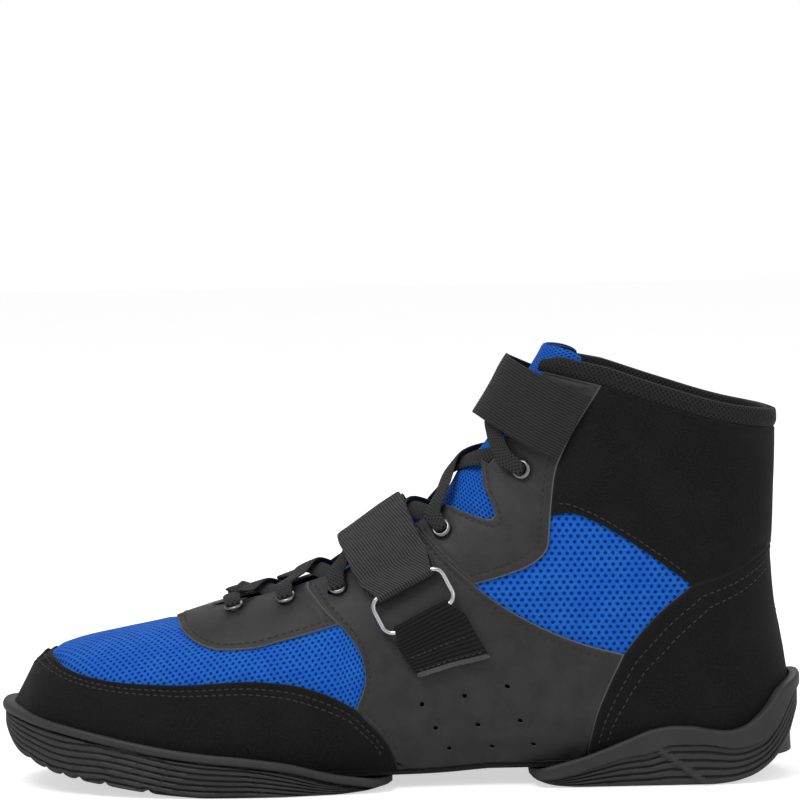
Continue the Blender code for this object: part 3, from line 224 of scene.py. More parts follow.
# Linings meet at LINING_JOIN. Half width of the tongue, and its ends along S.
LINING_JOIN = -158.0
TONGUE_WIDTH = [(-168.0, 17.0), (-120.0, 22.0), (-40.0, 24.0), (60.0, 25.0), (160.0, 26.0)]
TONGUE_FOOT = -166.0
TONGUE_TOP = 160.0

# Soles. Heights (x, z) of the tread, the top of the wall, and the outline's half width.
FORE_TREAD = [
    (-234.0, 22.5), (-231.0, 17.5), (-227.0, 13.5), (-222.0, 11.0),
    (-214.0, 7.8), (-206.0, 6.0), (-192.0, 3.8),
    (-180.0, 2.0), (-168.0, 0.7), (-156.0, 0.0), (-112.0, 0.0), (-102.0, 0.7), (-94.0, 2.0), (-88.0, 3.2),
]
FORE_TOP = [
    (-234.0, 30.6), (-228.7, 29.6), (-222.0, 27.9), (-203.0, 24.0),
    (-188.0, 21.0), (-173.0, 18.2), (-159.0, 16.2), (-144.0, 14.6),
    (-128.0, 12.2), (-116.0, 8.9), (-108.0, 7.0), (-98.0, 5.5), (-90.0, 4.6), (-88.0, 4.5),
]
FORE_TIP = -234.0
FORE_END = -90.5
FORE_HALF = [(-150.0, 50.7), (-134.0, 49.8), (-120.0, 46.8), (-104.0, 42.8), (-88.0, 40.0)]
HEEL_TREAD = [
    (-41.0, 4.0), (-38.0, 2.2), (-30.0, 0.5), (-22.0, 0.0),
    (24.0, 0.0), (31.0, 0.5), (39.0, 2.3), (46.0, 6.0),
    (53.0, 13.0), (58.5, 24.0),
]
HEEL_TOP = [
    (-41.0, 6.0), (-32.0, 8.4), (-22.0, 11.0), (-14.0, 13.8), (-5.0, 17.4), (4.0, 20.7), (11.5, 21.8),
    (18.5, 21.5), (24.0, 20.5), (31.0, 19.7), (37.0, 20.8),
    (42.5, 24.0), (47.5, 28.5), (52.0, 33.5), (58.5, 37.0),
]
HEEL_FRONT = -41.0
HEEL_BACK = 59.4
HEEL_HALF = 35.4
POD_FLOOR = 3.3

# Instep strap: edges (x, z) on the outer side from the ridge down to the sewn end.
STRAP_FORE_EDGE = [(-104.5, 82.0), (-101.5, 75.5), (-97.0, 67.5), (-89.5, 54.9), (-81.3, 42.4)]
STRAP_REAR_EDGE = [(-81.0, 97.0), (-78.0, 90.0), (-73.3, 80.2), (-65.9, 68.0), (-55.2, 48.9)]
RING_LONG = 27.6
RING_SHORT = 14.4
PLY = 0.65 + WEB / 2
TAIL_RISE = 2.75
LOOP_RISE = 1.0
HOOK_RISE = 1.62
PATCH_THICK = 0.4
WRAP = RING_WIRE + 0.3 + WEB / 2

# Ankle band: corners (x, z) on the outer side.
BAND_RIDGE_LOW = 67.0
BAND_RIDGE_HIGH = 136.0
BAND_REAR = [(-29.1, 117.8), (-16.3, 140.9)]
BAND_HIGH = 5.15
BAND_LOW = 1.6

LACE_WIDTH = 7.0
LACE_THICK = 1.2
LACE_UNDER = -2.9
LACE_OVER = 1.9

# Padded roll round the top of the shaft.
ROLL_LEVEL = -1.6
ROLL_THICK = 3.7
ROLL_TALL = 7.0
ROLL_SEAMS = (5.5, 3.9)


def curve(table, at):
    """Smooth interpolation, without overshoot, through (place, value) pairs; straight beyond the ends."""
    xs, ys = np.array(table, float).T
    gap = np.diff(xs)
    slope = np.diff(ys) / gap
    near, far = slope[:-1], slope[1:]
    same = near * far > 0
    weight_a = 2 * gap[1:] + gap[:-1]
    weight_b = gap[1:] + 2 * gap[:-1]
    safe_near = np.where(same, near, 1.0)
    safe_far = np.where(same, far, 1.0)
    middle = np.where(same, (weight_a + weight_b) / (weight_a / safe_near + weight_b / safe_far), 0.0)
    tangent = np.concatenate([[slope[0]], middle, [slope[-1]]])
    at = np.asarray(at, float)
    i = np.clip(np.searchsorted(xs, at) - 1, 0, len(xs) - 2)
    inside = np.clip((at - xs[i]) / gap[i], 0.0, 1.0)
    a = inside * inside * (3 - 2 * inside)
    b = inside * (1 - inside) ** 2
    c = inside * inside * (1 - inside)
    value = ys[i] * (1 - a) + ys[i + 1] * a + gap[i] * (tangent[i] * b - tangent[i + 1] * c)
    value = value + np.minimum(at - xs[0], 0.0) * slope[0] + np.maximum(at - xs[-1], 0.0) * slope[-1]
    return value


def from_toe(place):
    """Stretches the first millimetres of the toe, where the outlines turn upright."""
    return np.sqrt(np.maximum(np.asarray(place, float) - TOE_X, 0.0) + 0.2)


def toe_curve(table, at):
    return curve([(float(from_toe(place)), value) for place, value in table], from_toe(at))


def to_fan(x, z):
    """Side view (x, z) to (S, distance from the pivot)."""
    x = np.asarray(x, float)
    z = np.asarray(z, float)
    turn = np.arctan2(np.maximum(x - PIVOT_X, 0.0), PIVOT_Z - z)
    place = np.where(x <= PIVOT_X, x, PIVOT_X + FAN_RADIUS * turn)
    reach = np.where(x <= PIVOT_X, PIVOT_Z - z, np.hypot(x - PIVOT_X, PIVOT_Z - z))
    return place, reach


def from_fan(place, reach):
    turn = np.maximum(place - PIVOT_X, 0.0) / FAN_RADIUS
    x = np.minimum(place, PIVOT_X) + reach * np.sin(turn)
    return x, PIVOT_Z - reach * np.cos(turn)


def fan_table(points):
    places, reaches = to_fan(*np.array(points, float).T)
    return list(zip(places.tolist(), reaches.tolist()))


BACK_UP = [(x, z) for z, x in BACK_LINE if z > 12.5]
NEAR_REACH = fan_table(RIDGE)
FAR_REACH = fan_table(SOLE_EDGE + BACK_UP)
MERGE = float(to_fan(HEEL_END, 12.5)[0])
BACK_REACH = 2.0


def half_width(place, reach, near, far):
    x, z = from_fan(place, reach)
    depth = toe_curve(FRONT_DEPTH, place) * (far - near)
    power = toe_curve(FRONT_POWER, place)
    front = 1 - (1 - np.clip((reach - near) / depth, 0, 1)) ** power
    front = np.maximum(front, 0) ** (1 / power)
    behind = np.clip(curve(BACK_LINE, z) - x, 0, None)
    # Behind the sole's end the two sides meet on the back line.
    behind = np.where(place >= MERGE - 1e-6, np.minimum(behind, BACK_REACH * (far - reach)), behind)
    back = 1 - (1 - np.clip(behind / curve(BACK_DEPTH, z), 0, 1)) ** BACK_POWER
    back = np.maximum(back, 0) ** (1 / BACK_POWER)
    low = np.clip(1 - (far - reach) / TUCK_HEIGHT, 0, 1)
    tuck = 1 - toe_curve(WAIST_TUCK, place) * low * low
    return toe_curve(HALF_WIDTH, place) * front * back * tuck


def surface(place, around):
    """Points of the outside of the upper, in mm."""
    place = np.maximum(np.asarray(place, float), TOE_X)
    around = np.asarray(around, float)
    near = toe_curve(NEAR_REACH, place)
    far = toe_curve(FAR_REACH, place)
    share = (1 - np.cos(math.pi * np.clip(np.abs(around) / GIRTH, 0, 1))) / 2
    reach = near + share * (far - near)
    x, z = from_fan(place, reach)
    swing = TOE_SWING * (np.clip(-100.0 - x, 0, None) / 130.0) ** 1.6
    # Positive T is the outer side, which faces -Y.
    y = swing - np.sign(around) * half_width(place, reach, near, far)
    return np.stack([x, y, z], axis=-1)


def normals(place, around):
    """Outward unit normals of the surface."""
    step = 0.25
    along = surface(place + step, around) - surface(np.maximum(place - step, TOE_X), around)
    side = np.where(np.asarray(around, float) < 0, -1.0, 1.0)
    low = np.abs(around) - step
    high = np.minimum(np.abs(around) + step, GIRTH)
    over = surface(place, side * high) - surface(place, side * low)
    normal = -np.cross(along, over) * side[..., None]
    at_back = (np.abs(around) >= GIRTH - 1e-6) & (np.asarray(place, float) >= MERGE - 1e-6)
    # The two sides meet there, so the normal stays square to the line in the centre plane.
    square_on = np.stack([along[..., 2], np.zeros_like(along[..., 2]), -along[..., 0]], axis=-1)
    normal = np.where(at_back[..., None], square_on, normal)
    return normal / np.maximum(np.linalg.norm(normal, axis=-1, keepdims=True), 1e-9)


def place_of(x, z):
    """(S, T) on the outer side of a side-view point, T positive."""
    place, reach = to_fan(x, z)
    near = toe_curve(NEAR_REACH, place)
    far = toe_curve(FAR_REACH, place)
    share = np.clip((reach - near) / (far - near), 0, 1)
    return place, GIRTH / math.pi * np.arccos(1 - 2 * share)


def around_at_width(place, width):
    """T at which the upper is this far from its centre plane, near the front ridge."""
    low = np.zeros_like(place)
    high = np.full_like(place, GIRTH * 0.5)
    for _ in range(30):
        middle = (low + high) / 2
        near = toe_curve(NEAR_REACH, place)
        far = toe_curve(FAR_REACH, place)
        share = (1 - np.cos(math.pi * middle / GIRTH)) / 2
        wide = half_width(place, near + share * (far - near), near, far) > width
        high = np.where(wide, middle, high)
        low = np.where(wide, low, middle)
    return (low + high) / 2


def side_line(points, step=3.0):
    """A side-view line as (S, T) points, smoothed and evenly stepped."""
    points = np.array(points, float)
    run = np.concatenate([[0], np.cumsum(np.hypot(*np.diff(points, axis=0).T))])
    count = max(2, int(round(run[-1] / step)) + 1)
    at = np.linspace(0, run[-1], count)
    x = curve(list(zip(run, points[:, 0])), at)
    z = curve(list(zip(run, points[:, 1])), at)
    return list(zip(*place_of(x, z)))


def throat_line(first, last, count, extra=0.0):
    """The edge of the throat between two S places, moved back from the ridge by `extra`."""
    places = np.linspace(first, last, 4 * count)
    return list(zip(places, around_at_width(places, toe_curve(THROAT, places) + extra)))


def straight(start, end, step=4.0):
    length = math.hypot(end[0] - start[0], end[1] - start[1])
    count = max(1, int(round(length / step)))
    return [(start[0] + (end[0] - start[0]) * n / count, start[1] + (end[1] - start[1]) * n / count)
            for n in range(count)]


def joined(*runs):
    """One closed outline from runs of points; near-repeats are dropped."""
    outline = []
    for run in runs:
        for point in run:
            point = (float(point[0]), float(point[1]))
            if not outline or math.dist(point, outline[-1]) > 0.6:
                outline.append(point)
    while math.dist(outline[0], outline[-1]) <= 0.6:
        outline.pop()
    return outline


def mirrored(line):
    return [(place, -around) for place, around in line]


def behind_line(line):
    """The inner side's copy of an outer-side line, counted on past the back line."""
    return [(place, 2 * GIRTH - around) for place, around in line]


def signed_area(outline):
    return sum(a[0] * b[1] - b[0] * a[1] for a, b in zip(outline, outline[1:] + outline[:1])) / 2


def inset(outline, amount):
    """The outline moved inward by `amount`."""
    if signed_area(outline) < 0:
        outline = outline[::-1]
    moved = []
    for before, here, after in zip(outline[-1:] + outline[:-1], outline, outline[1:] + outline[:1]):
        first = Vector((here[0] - before[0], here[1] - before[1])).normalized()
        second = Vector((after[0] - here[0], after[1] - here[1])).normalized()
        side = Vector((-first.y - second.y, first.x + second.x))
        if side.length < 1e-6:
            side = Vector((-first.y, first.x))
        side.normalize()
        lean = max(0.5, side.dot(Vector((-first.y, first.x))))
        moved.append((here[0] + side.x * amount / lean, here[1] + side.y * amount / lean))
    return moved


def round_hole(place, around, radius, count):
    """A round hole of real radius about a place on the surface."""
    step = 0.5
    centre = surface(place, around)
    per_s = np.linalg.norm(surface(place + step, around) - centre) / step
    per_t = np.linalg.norm(surface(place, around + step) - centre) / step
    turns = [2 * math.pi * n / count for n in range(count)]
    return [(place + radius / per_s * math.cos(a), around + radius / per_t * math.sin(a)) for a in turns]


def sole_run(first, last, step=6.0):
    return straight((first, SOLE_LINE), (last, SOLE_LINE), step) + [(last, SOLE_LINE)]


def on_ridge(line):
    """A line whose first point is moved onto the front ridge."""
    return [(line[0][0], 0.0)] + line[1:]


def cap_outline():
    side = on_ridge(side_line(CAP_EDGE)) + side_line(CAP_REAR) + sole_run(side_line(CAP_REAR)[-1][0], TIP)
    return joined(side, mirrored(side)[::-1])


def vamp_outline():
    side = on_ridge(side_line(CAP_EDGE)) + side_line(SADDLE_DOWN)[::-1] + side_line(FACING_LOW)[::-1][:-1]
    side = side + [(float(to_fan(*FACING_LOW[0])[0]), 0.0)]
    return joined(side, mirrored(side)[::-1])


def facing_outline():
    up = side_line(SADDLE_UP)
    throat = throat_line(up[0][0], THROAT_FRONT_X + 5.0, 7)
    side = on_ridge(side_line(FACING_LOW)) + up[::-1] + throat
    side = side + [(THROAT_FRONT_X + 1.5, throat[-1][1] * 0.6), (THROAT_FRONT_X, 0.0)]
    return joined(side, mirrored(side)[::-1])


def saddle_rear():
    """The midfoot panel's rear edge, begun on the edge of the throat."""
    line = side_line(SADDLE_REAR)
    return throat_line(line[0][0], line[0][0], 1) + line[1:]


def midfoot_outline():
    up = side_line(SADDLE_UP)
    rear = saddle_rear()
    front = side_line(COUNTER_FRONT)
    sole = sole_run(side_line(CAP_REAR)[-1][0], front[-1][0])
    throat = throat_line(rear[0][0], up[0][0], 9)
    return joined(up, side_line(SADDLE_DOWN), side_line(CAP_REAR), sole, front[::-1], rear[::-1], throat)


def eyestay_outline():
    rear = [p for p in saddle_rear() if p[1] < side_line(EYESTAY_LOW)[0][1] - 1.0]
    notch = side_line(NOTCH, 2.0)
    top = throat_line(RIM_AT_RIDGE, notch[0][0] + 2.0, 6)
    low = throat_line(notch[-1][0] - 3.0, rear[0][0] + 2.0, 3)
    rim = side_line(RIM_FRONT)[:-1]
    return joined(rear, side_line(EYESTAY_LOW), side_line(EYESTAY_HIGH), rim, top, notch, low)


def quarter_outline():
    rear = saddle_rear()
    start = side_line(EYESTAY_LOW)[0][1]
    rear = [p for p in rear if p[1] >= start]
    middle = side_line(COUNTER_MIDDLE)
    return joined(side_line(EYESTAY_LOW), side_line(SUEDE_LOW), middle, rear[::-1])


def back_run(first, last, step=5.0):
    return straight((first, GIRTH), (last, GIRTH), step) + [(last, GIRTH)]


def collar_outline():
    rim = side_line(RIM_BACK)[:-1]
    top = side_line(COUNTER_TOP)[1:]
    back_top = float(to_fan(*RIM_BACK[-1])[0])
    back_low = float(to_fan(*COUNTER_TOP[0])[0])
    return joined(side_line(EYESTAY_HIGH), rim, back_run(back_top, back_low), top, side_line(SUEDE_LOW)[::-1])


def foam_outline():
    top = float(to_fan(*FOAM_TOP[-1])[0])
    low = float(to_fan(*FOAM_LOW[0])[0])
    lines = [side_line(FOAM_FRONT), side_line(FOAM_TOP)[:-1], back_run(top, low)]
    return joined(*lines, side_line(FOAM_LOW)[1:], side_line(FOAM_MESH_EDGE))


def counter_outline():
    side = side_line(COUNTER_TOP) + side_line(COUNTER_MIDDLE) + side_line(COUNTER_FRONT)
    side[0] = (float(to_fan(*COUNTER_TOP[0])[0]), GIRTH)
    side = side + sole_run(side[-1][0], MERGE - 0.5) + [(MERGE + 1.5, GIRTH)]
    return joined(side, behind_line(side)[::-1])


def stiffener_outline():
    side = side_line(STIFFENER_EDGE)
    side[0] = (float(to_fan(*STIFFENER_EDGE[0])[0]), GIRTH)
    low = SOLE_LINE - 6.0
    side = side + [(side[-1][0], low), (MERGE - 6.0, low), (MERGE + 5.0, GIRTH)]
    return joined(side, behind_line(side)[::-1])


def eyelet_places():
    """(S, T) of the outer-side eyelets, a fixed distance back from the edge of the throat."""
    spots = []
    for x, z in EYELETS:
        place = float(to_fan(x, z)[0])
        width = toe_curve(THROAT, place) + 6.5
        around = around_at_width(np.array([place]), width)
        spots.append((place, float(around[0])))
    return spots


def eyelet_holes(numbers):
    spots = eyelet_places()
    return [round_hole(*spots[n], EYELET_HOLE, 28) for n in numbers]


def vent_holes():
    spots = [place_of(x, z) for row in VENT_ROWS for x, z in row]
    return [round_hole(float(place), float(around), VENT_RADIUS, 14) for place, around in spots]


def flipped(outline, side):
    return [(place, around * side) for place, around in outline]


def quarter_lining_outline():
    rim = float(to_fan(*RIM_BACK[-1])[0])
    throat = throat_line(RIM_AT_RIDGE, LINING_JOIN, 16, 12.0)
    sole = sole_run(LINING_JOIN, MERGE - 0.5)
    top = straight((rim, GIRTH), (RIM_AT_RIDGE, throat[0][1]), 9.0)
    return joined(sole, back_run(MERGE + 1.5, rim), top, throat)


def tongue_outline(narrower):
    places = np.linspace(TONGUE_FOOT + narrower, TONGUE_TOP - 8.0, 40)
    in_throat = np.clip((places + 60.0) / 40.0, 0, 1) * np.clip((130.0 - places) / 40.0, 0, 1)
    widths = toe_curve(TONGUE_WIDTH, places) - narrower + THROAT_MESH * in_throat
    side = list(zip(places, around_at_width(places, widths)))
    top = TONGUE_TOP - narrower
    last, wide = side[-1]
    turns = [math.pi / 2 * n / 12 for n in range(1, 12)]
    crown = [(last + (top - last) * math.sin(a), wide * math.cos(a) ** 0.55) for a in turns]
    side = [(places[0], 0.0)] + side + crown + [(top, 0.0)]
    return joined(side, mirrored(side)[::-1])


def fore_half(x):
    if x < -150.0:
        return 50.7 * max(0.0, 1 - ((-150.0 - x) / 84.0) ** 2.3) ** (1 / 2.3)
    return float(curve(FORE_HALF, x))


def heel_half(x):
    start = HEEL_BACK - 38.0
    if x > start:
        return HEEL_HALF * max(0.0, 1 - ((x - start) / 38.0) ** 2.35) ** (1 / 2.35)
    return HEEL_HALF + 1.2 * (start - x) / (start - HEEL_FRONT)


def swing_at(x):
    return TOE_SWING * max(0.0, (-100.0 - x) / 130.0) ** 1.6


def floor_height(x):
    return float(toe_curve([(px, pz) for px, pz in SOLE_EDGE], min(max(x, -229.0), 44.0))) - POD_FLOOR


# ---------------------------------------------------------------- meshes

ARC_S = np.linspace(TOE_X, 170.0, 161)
ARC_T = np.linspace(0.0, GIRTH, 111)


def arc_table():
    """Length in mm from the front ridge to each (S, T) of a grid."""
    grid_s, grid_t = np.meshgrid(ARC_S, ARC_T, indexing="ij")
    points = surface(grid_s, grid_t)
    steps = np.linalg.norm(np.diff(points, axis=1), axis=-1)
    return np.concatenate([np.zeros((len(ARC_S), 1)), np.cumsum(steps, axis=1)], axis=1)


ARC = arc_table()


def arc_length(place, around):
    """Signed length round a section from the front ridge."""
    size = np.abs(around)
    i = np.clip((place - ARC_S[0]) / (ARC_S[1] - ARC_S[0]), 0, len(ARC_S) - 1.001)
    j = np.clip(size / (ARC_T[1] - ARC_T[0]), 0, len(ARC_T) - 1.001)
    i0, j0 = i.astype(int), j.astype(int)
    a, b = i - i0, j - j0
    found = (ARC[i0, j0] * (1 - a) * (1 - b) + ARC[i0 + 1, j0] * a * (1 - b)
             + ARC[i0, j0 + 1] * (1 - a) * b + ARC[i0 + 1, j0 + 1] * a * b)
    return found * np.sign(around)


def folded(around):
    """T counted on past the back line, brought back to -GIRTH..GIRTH."""
    return np.where(around > GIRTH, around - 2 * GIRTH, around)


def place_points(place, around, level):
    """Points at (S, T) and a level, in mm."""
    place = np.asarray(place, float)
    around = folded(np.asarray(around, float))
    base = surface(place, around)
    return base + normals(place, around) * np.asarray(level, float)[..., None]


def smooth(x):
    x = np.clip(x, 0.0, 1.0)
    return x * x * (3 - 2 * x)


def ripple(x, y):
    """Slow, repeatable waves of about unit size."""
    return (np.sin(x * 0.11 + 1.3 * np.sin(y * 0.07)) + np.sin(y * 0.16 + x * 0.05 + 0.7)
            + 0.5 * np.sin(x * 0.31 - y * 0.23)) / 2.5


def segment_distance(points, loops):
    """Distance of each 2-D point from the nearest side of closed loops."""
    best = np.full(len(points), 1e9)
    for loop in loops:
        a = np.array(loop)
        b = np.roll(a, -1, axis=0)
        d = b - a
        size = np.maximum((d * d).sum(1), 1e-12)
        for start in range(0, len(points), 4000):
            p = points[start:start + 4000, None, :]
            t = np.clip(((p - a) * d).sum(-1) / size, 0, 1)
            gap = np.linalg.norm(p - (a + t[..., None] * d), axis=-1).min(1)
            best[start:start + 4000] = np.minimum(best[start:start + 4000], gap)
    return best


def inside(points, loop):
    """Even-odd test of 2-D points against one closed loop."""
    a = np.array(loop)
    b = np.roll(a, -1, axis=0)
    found = np.zeros(len(points), bool)
    for start in range(0, len(points), 4000):
        x = points[start:start + 4000, 0:1]
        y = points[start:start + 4000, 1:2]
        crosses = (a[:, 1] > y) != (b[:, 1] > y)
        rise = np.where(np.abs(b[:, 1] - a[:, 1]) < 1e-12, 1e-12, b[:, 1] - a[:, 1])
        at = a[:, 0] + (y - a[:, 1]) * (b[:, 0] - a[:, 0]) / rise
        found[start:start + 4000] = ((crosses & (x < at)).sum(1) % 2) == 1
    return found


def make(name, vertices, faces, finishes, weave=None, slots=None, sharp=50.0, body="boot", nodes=()):
    """A piece from millimetre points that rides on a body and stands for CAD nodes."""
    mesh = bpy.data.meshes.new(name)
    mesh.from_pydata((np.asarray(vertices, float) * MM).tolist(), [], [tuple(f) for f in faces])
    if weave is not None:
        layer = mesh.attributes.new("weave", "FLOAT_VECTOR", "POINT")
        layer.data.foreach_set("vector", np.asarray(weave, np.float32).ravel())
    for finish in finishes:
        mesh.materials.append(finish)
    if slots is not None:
        mesh.polygons.foreach_set("material_index", slots)
    shell = bmesh.new()
    shell.from_mesh(mesh)
    bmesh.ops.recalc_face_normals(shell, faces=shell.faces)
    shell.to_mesh(mesh)
    shell.free()
    mesh.polygons.foreach_set("use_smooth", [True] * len(mesh.polygons))
    mesh.set_sharp_from_angle(angle=math.radians(sharp))
    made = bpy.data.objects.new(name, mesh)
    bpy.context.scene.collection.objects.link(made)
    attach(made, body)
    if nodes:
        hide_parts(*nodes)
    return made


def panel(name, outline, level, floor, finish, holes=(), spacing=2.6, rings=(0.25, 0.7, 1.6), uv="girth",
          edge=None, body="boot", nodes=(), margin=-0.05):
    """A cut piece of the upper. level(d, s, t) is its outside, d being the distance from its own edge."""
    outline = inset(outline, margin)
    loops = [outline] + [list(h) for h in holes]
    low = np.min(outline, axis=0)
    high = np.max(outline, axis=0)
    rows = np.arange(low[1], high[1], spacing * 0.87)
    spots = []
    for n, v in enumerate(rows):
        u = np.arange(low[0] + (spacing / 2 if n % 2 else 0), high[0], spacing)
        spots.append(np.stack([u, np.full_like(u, v)], axis=1))
    spots = np.concatenate(spots)
    keep = inside(spots, outline)
    for hole in holes:
        keep &= ~inside(spots, hole)
    spots = spots[keep]
    spots = spots[segment_distance(spots, loops) > rings[-1] + spacing * 0.45]
    for r in rings:
        ring = np.array(inset(outline, r))
        gap = segment_distance(ring, loops)
        spots = np.concatenate([spots, ring[(gap > r * 0.8) & inside(ring, outline)]])
    points = [Vector(p) for p in spots]
    faces = []
    for loop in loops:
        if signed_area(loop) < 0:
            loop = loop[::-1]
        faces.append(list(range(len(points), len(points) + len(loop))))
        points += [Vector(p) for p in loop]
    found = delaunay_2d_cdt(points, [], faces, 0, 0.02)
    flat, triangles, owners = found[0], found[2], found[5]
    kept = [t for t, o in zip(triangles, owners) if 0 in o and not any(k > 0 for k in o)]
    used = sorted({v for t in kept for v in t})
    number = {v: n for n, v in enumerate(used)}
    kept = [tuple(number[v] for v in t) for t in kept]
    st = np.array([flat[v][:] for v in used])
    d = segment_distance(st, loops)
    top = place_points(st[:, 0], st[:, 1], level(d, st[:, 0], st[:, 1]))
    low_level = floor(st[:, 0], st[:, 1]) if callable(floor) else np.full(len(st), float(floor))
    base = place_points(st[:, 0], st[:, 1], low_level)
    count = len(used)
    sides = {}
    for t in kept:
        for a, b in zip(t, t[1:] + t[:1]):
            if (b, a) in sides:
                del sides[b, a]
            else:
                sides[a, b] = True
    faces = list(kept) + [tuple(v + count for v in reversed(t)) for t in kept]
    slots = [0] * len(faces)
    for a, b in sides:
        faces.append((b, a, a + count, b + count))
        slots.append(1 if edge is not None else 0)
    if uv == "girth":
        plan = np.stack([st[:, 0], arc_length(st[:, 0], folded(st[:, 1]))], axis=1)
    else:
        plan = top[:, [0, 2]]
    from_edge = segment_distance(st, loops[:1])
    weave = np.concatenate([plan, from_edge[:, None]], axis=1)
    weave = np.concatenate([weave, weave])
    finishes = [finish] + ([edge] if edge is not None else [])
    return make(name, np.concatenate([top, base]), faces, finishes, weave, slots, body=body, nodes=nodes)


def grid(name, rows, finishes, closed_rows=False, closed_columns=False, caps=True, weave=None, sharp=50.0,
         body="boot", nodes=(), slots=None):
    """A skin over rows of points.

    closed_columns joins each row's ends, closed_rows the first row to the last.
    """
    rows = np.asarray(rows, float)
    r, c = rows.shape[:2]
    faces = []
    for i in range(r if closed_rows else r - 1):
        k = (i + 1) % r
        for j in range(c if closed_columns else c - 1):
            m = (j + 1) % c
            faces.append((i * c + j, i * c + m, k * c + m, k * c + j))
    if caps and closed_columns and not closed_rows:
        # Each end is closed by strips from one side of the section to the other.
        for i in (0, r - 1):
            half = c // 2
            for j in range(half - 1):
                faces.append((i * c + j, i * c + j + 1, i * c + (c - 2 - j), i * c + (c - 1 - j)))
    flat_weave = None if weave is None else np.asarray(weave, float).reshape(-1, 3)
    return make(name, rows.reshape(-1, 3), faces, finishes, flat_weave, slots,
                sharp=sharp, body=body, nodes=nodes)


def tape(name, rows, outs, thickness, finishes, ribs=None, edge_round=0.35, body="boot", nodes=()):
    """Webbing over rows of points: rows[i, j] lies on the middle layer, outs[i] or outs[i, j] points outward.

    ribs(u, v) lifts both faces; u runs along the tape and v across it, in mm.
    """
    rows = np.asarray(rows, float)
    outs = np.asarray(outs, float)
    if outs.ndim == 2:
        outs = np.repeat(outs[:, None, :], rows.shape[1], axis=1)
    middle = rows[:, rows.shape[1] // 2]
    u = np.concatenate([[0], np.cumsum(np.linalg.norm(np.diff(middle, axis=0), axis=1))])
    v = np.concatenate([np.zeros((len(rows), 1)),
                        np.cumsum(np.linalg.norm(np.diff(rows, axis=1), axis=-1), axis=1)], axis=1)
    u = np.repeat(u[:, None], rows.shape[1], axis=1)
    width = v[:, -1:]
    from_edge = np.minimum(v, width - v)
    half = thickness / 2 * np.sqrt(np.clip(1 - (1 - np.clip(from_edge / edge_round, 0, 1)) ** 2, 0.08, 1))
    lift_up = half + (ribs(u, v) if ribs else 0)
    top = rows + outs * lift_up[..., None]
    low = rows - outs * lift_up[..., None]
    ring = np.concatenate([top, low[:, ::-1]], axis=1)
    weave = np.stack([np.concatenate([u, u], axis=1), np.concatenate([v, v[:, ::-1]], axis=1),
                      np.concatenate([from_edge, from_edge[:, ::-1]], axis=1)], axis=-1)
    return grid(name, ring, finishes, closed_columns=True, weave=weave, body=body, nodes=nodes)


def stitch(name, lines, level, finish, pitch=2.7, length=1.95, radius=0.3, body="boot"):
    """Rows of thread stitches along (S, T) lines, each a small rounded bar half sunk in the panel."""
    vertices = []
    faces = []
    profile = ((-0.5, 0.35), (-0.38, 0.9), (0.0, 1.0), (0.38, 0.9), (0.5, 0.35))
    for line in lines:
        line = np.array(line, float)
        points = place_points(line[:, 0], line[:, 1], np.zeros(len(line)))
        steps = np.linalg.norm(np.diff(points, axis=0), axis=1)
        run = np.concatenate([[0], np.cumsum(steps)])
        count = int(run[-1] / pitch)
        for n in range(count):
            ends = []
            for at in (n * pitch + 0.3, n * pitch + 0.3 + length):
                s = np.interp(at, run, line[:, 0])
                t = np.interp(at, run, line[:, 1])
                value = level(s, t) if callable(level) else level
                ends.append(place_points(np.array([s]), np.array([t]), np.array([value]))[0])
            middle_s = np.interp(n * pitch + 0.3 + length / 2, run, line[:, 0])
            middle_t = np.interp(n * pitch + 0.3 + length / 2, run, line[:, 1])
            out = normals(np.array([middle_s]), folded(np.array([middle_t])))[0]
            ahead = ends[1] - ends[0]
            size = np.linalg.norm(ahead)
            if size < 0.3:
                continue
            ahead = ahead / size
            side = np.cross(out, ahead)
            centre = (ends[0] + ends[1]) / 2
            start = len(vertices)
            for along, share in profile:
                dip = -radius * 0.9 * (2 * abs(along)) ** 4
                for k in range(6):
                    turn = math.pi * 2 * k / 6
                    rise = dip + radius * share * math.sin(turn)
                    shift = side * radius * share * math.cos(turn)
                    vertices.append(centre + ahead * along * size + out * rise + shift)
            for i in range(len(profile) - 1):
                for k in range(6):
                    m = (k + 1) % 6
                    here = start + i * 6
                    faces.append((here + k, here + m, here + 6 + m, here + 6 + k))
            faces.append(tuple(start + k for k in range(6)))
            faces.append(tuple(start + (len(profile) - 1) * 6 + k for k in reversed(range(6))))
    return make(name, vertices, faces, [finish], sharp=180.0, body=body)


def offset_line(line, amount):
    """An open (S, T) line moved to its left by `amount`."""
    line = [tuple(p) for p in line]
    moved = []
    for n, here in enumerate(line):
        before = line[max(n - 1, 0)]
        after = line[min(n + 1, len(line) - 1)]
        d = np.array([after[0] - before[0], after[1] - before[1]])
        d = d / max(np.linalg.norm(d), 1e-9)
        moved.append((here[0] - d[1] * amount, here[1] + d[0] * amount))
    return moved


def resampled(path, step):
    """A smooth run through control rows (Catmull-Rom), about `step` mm apart by the first three values."""
    path = np.asarray(path, float)
    ends = [2 * path[0] - path[1]] + list(path) + [2 * path[-1] - path[-2]]
    out = []
    for n in range(len(path) - 1):
        a, b, c, d = ends[n:n + 4]
        count = max(2, int(np.linalg.norm((c - b)[:3]) / step))
        for k in range(count):
            t = k / count
            out.append(0.5 * (2 * b + (c - a) * t + (2 * a - 5 * b + 4 * c - d) * t * t
                              + (3 * b - a - 3 * c + d) * t ** 3))
    out.append(path[-1])
    return np.array(out)


# ---------------------------------------------------------------- materials


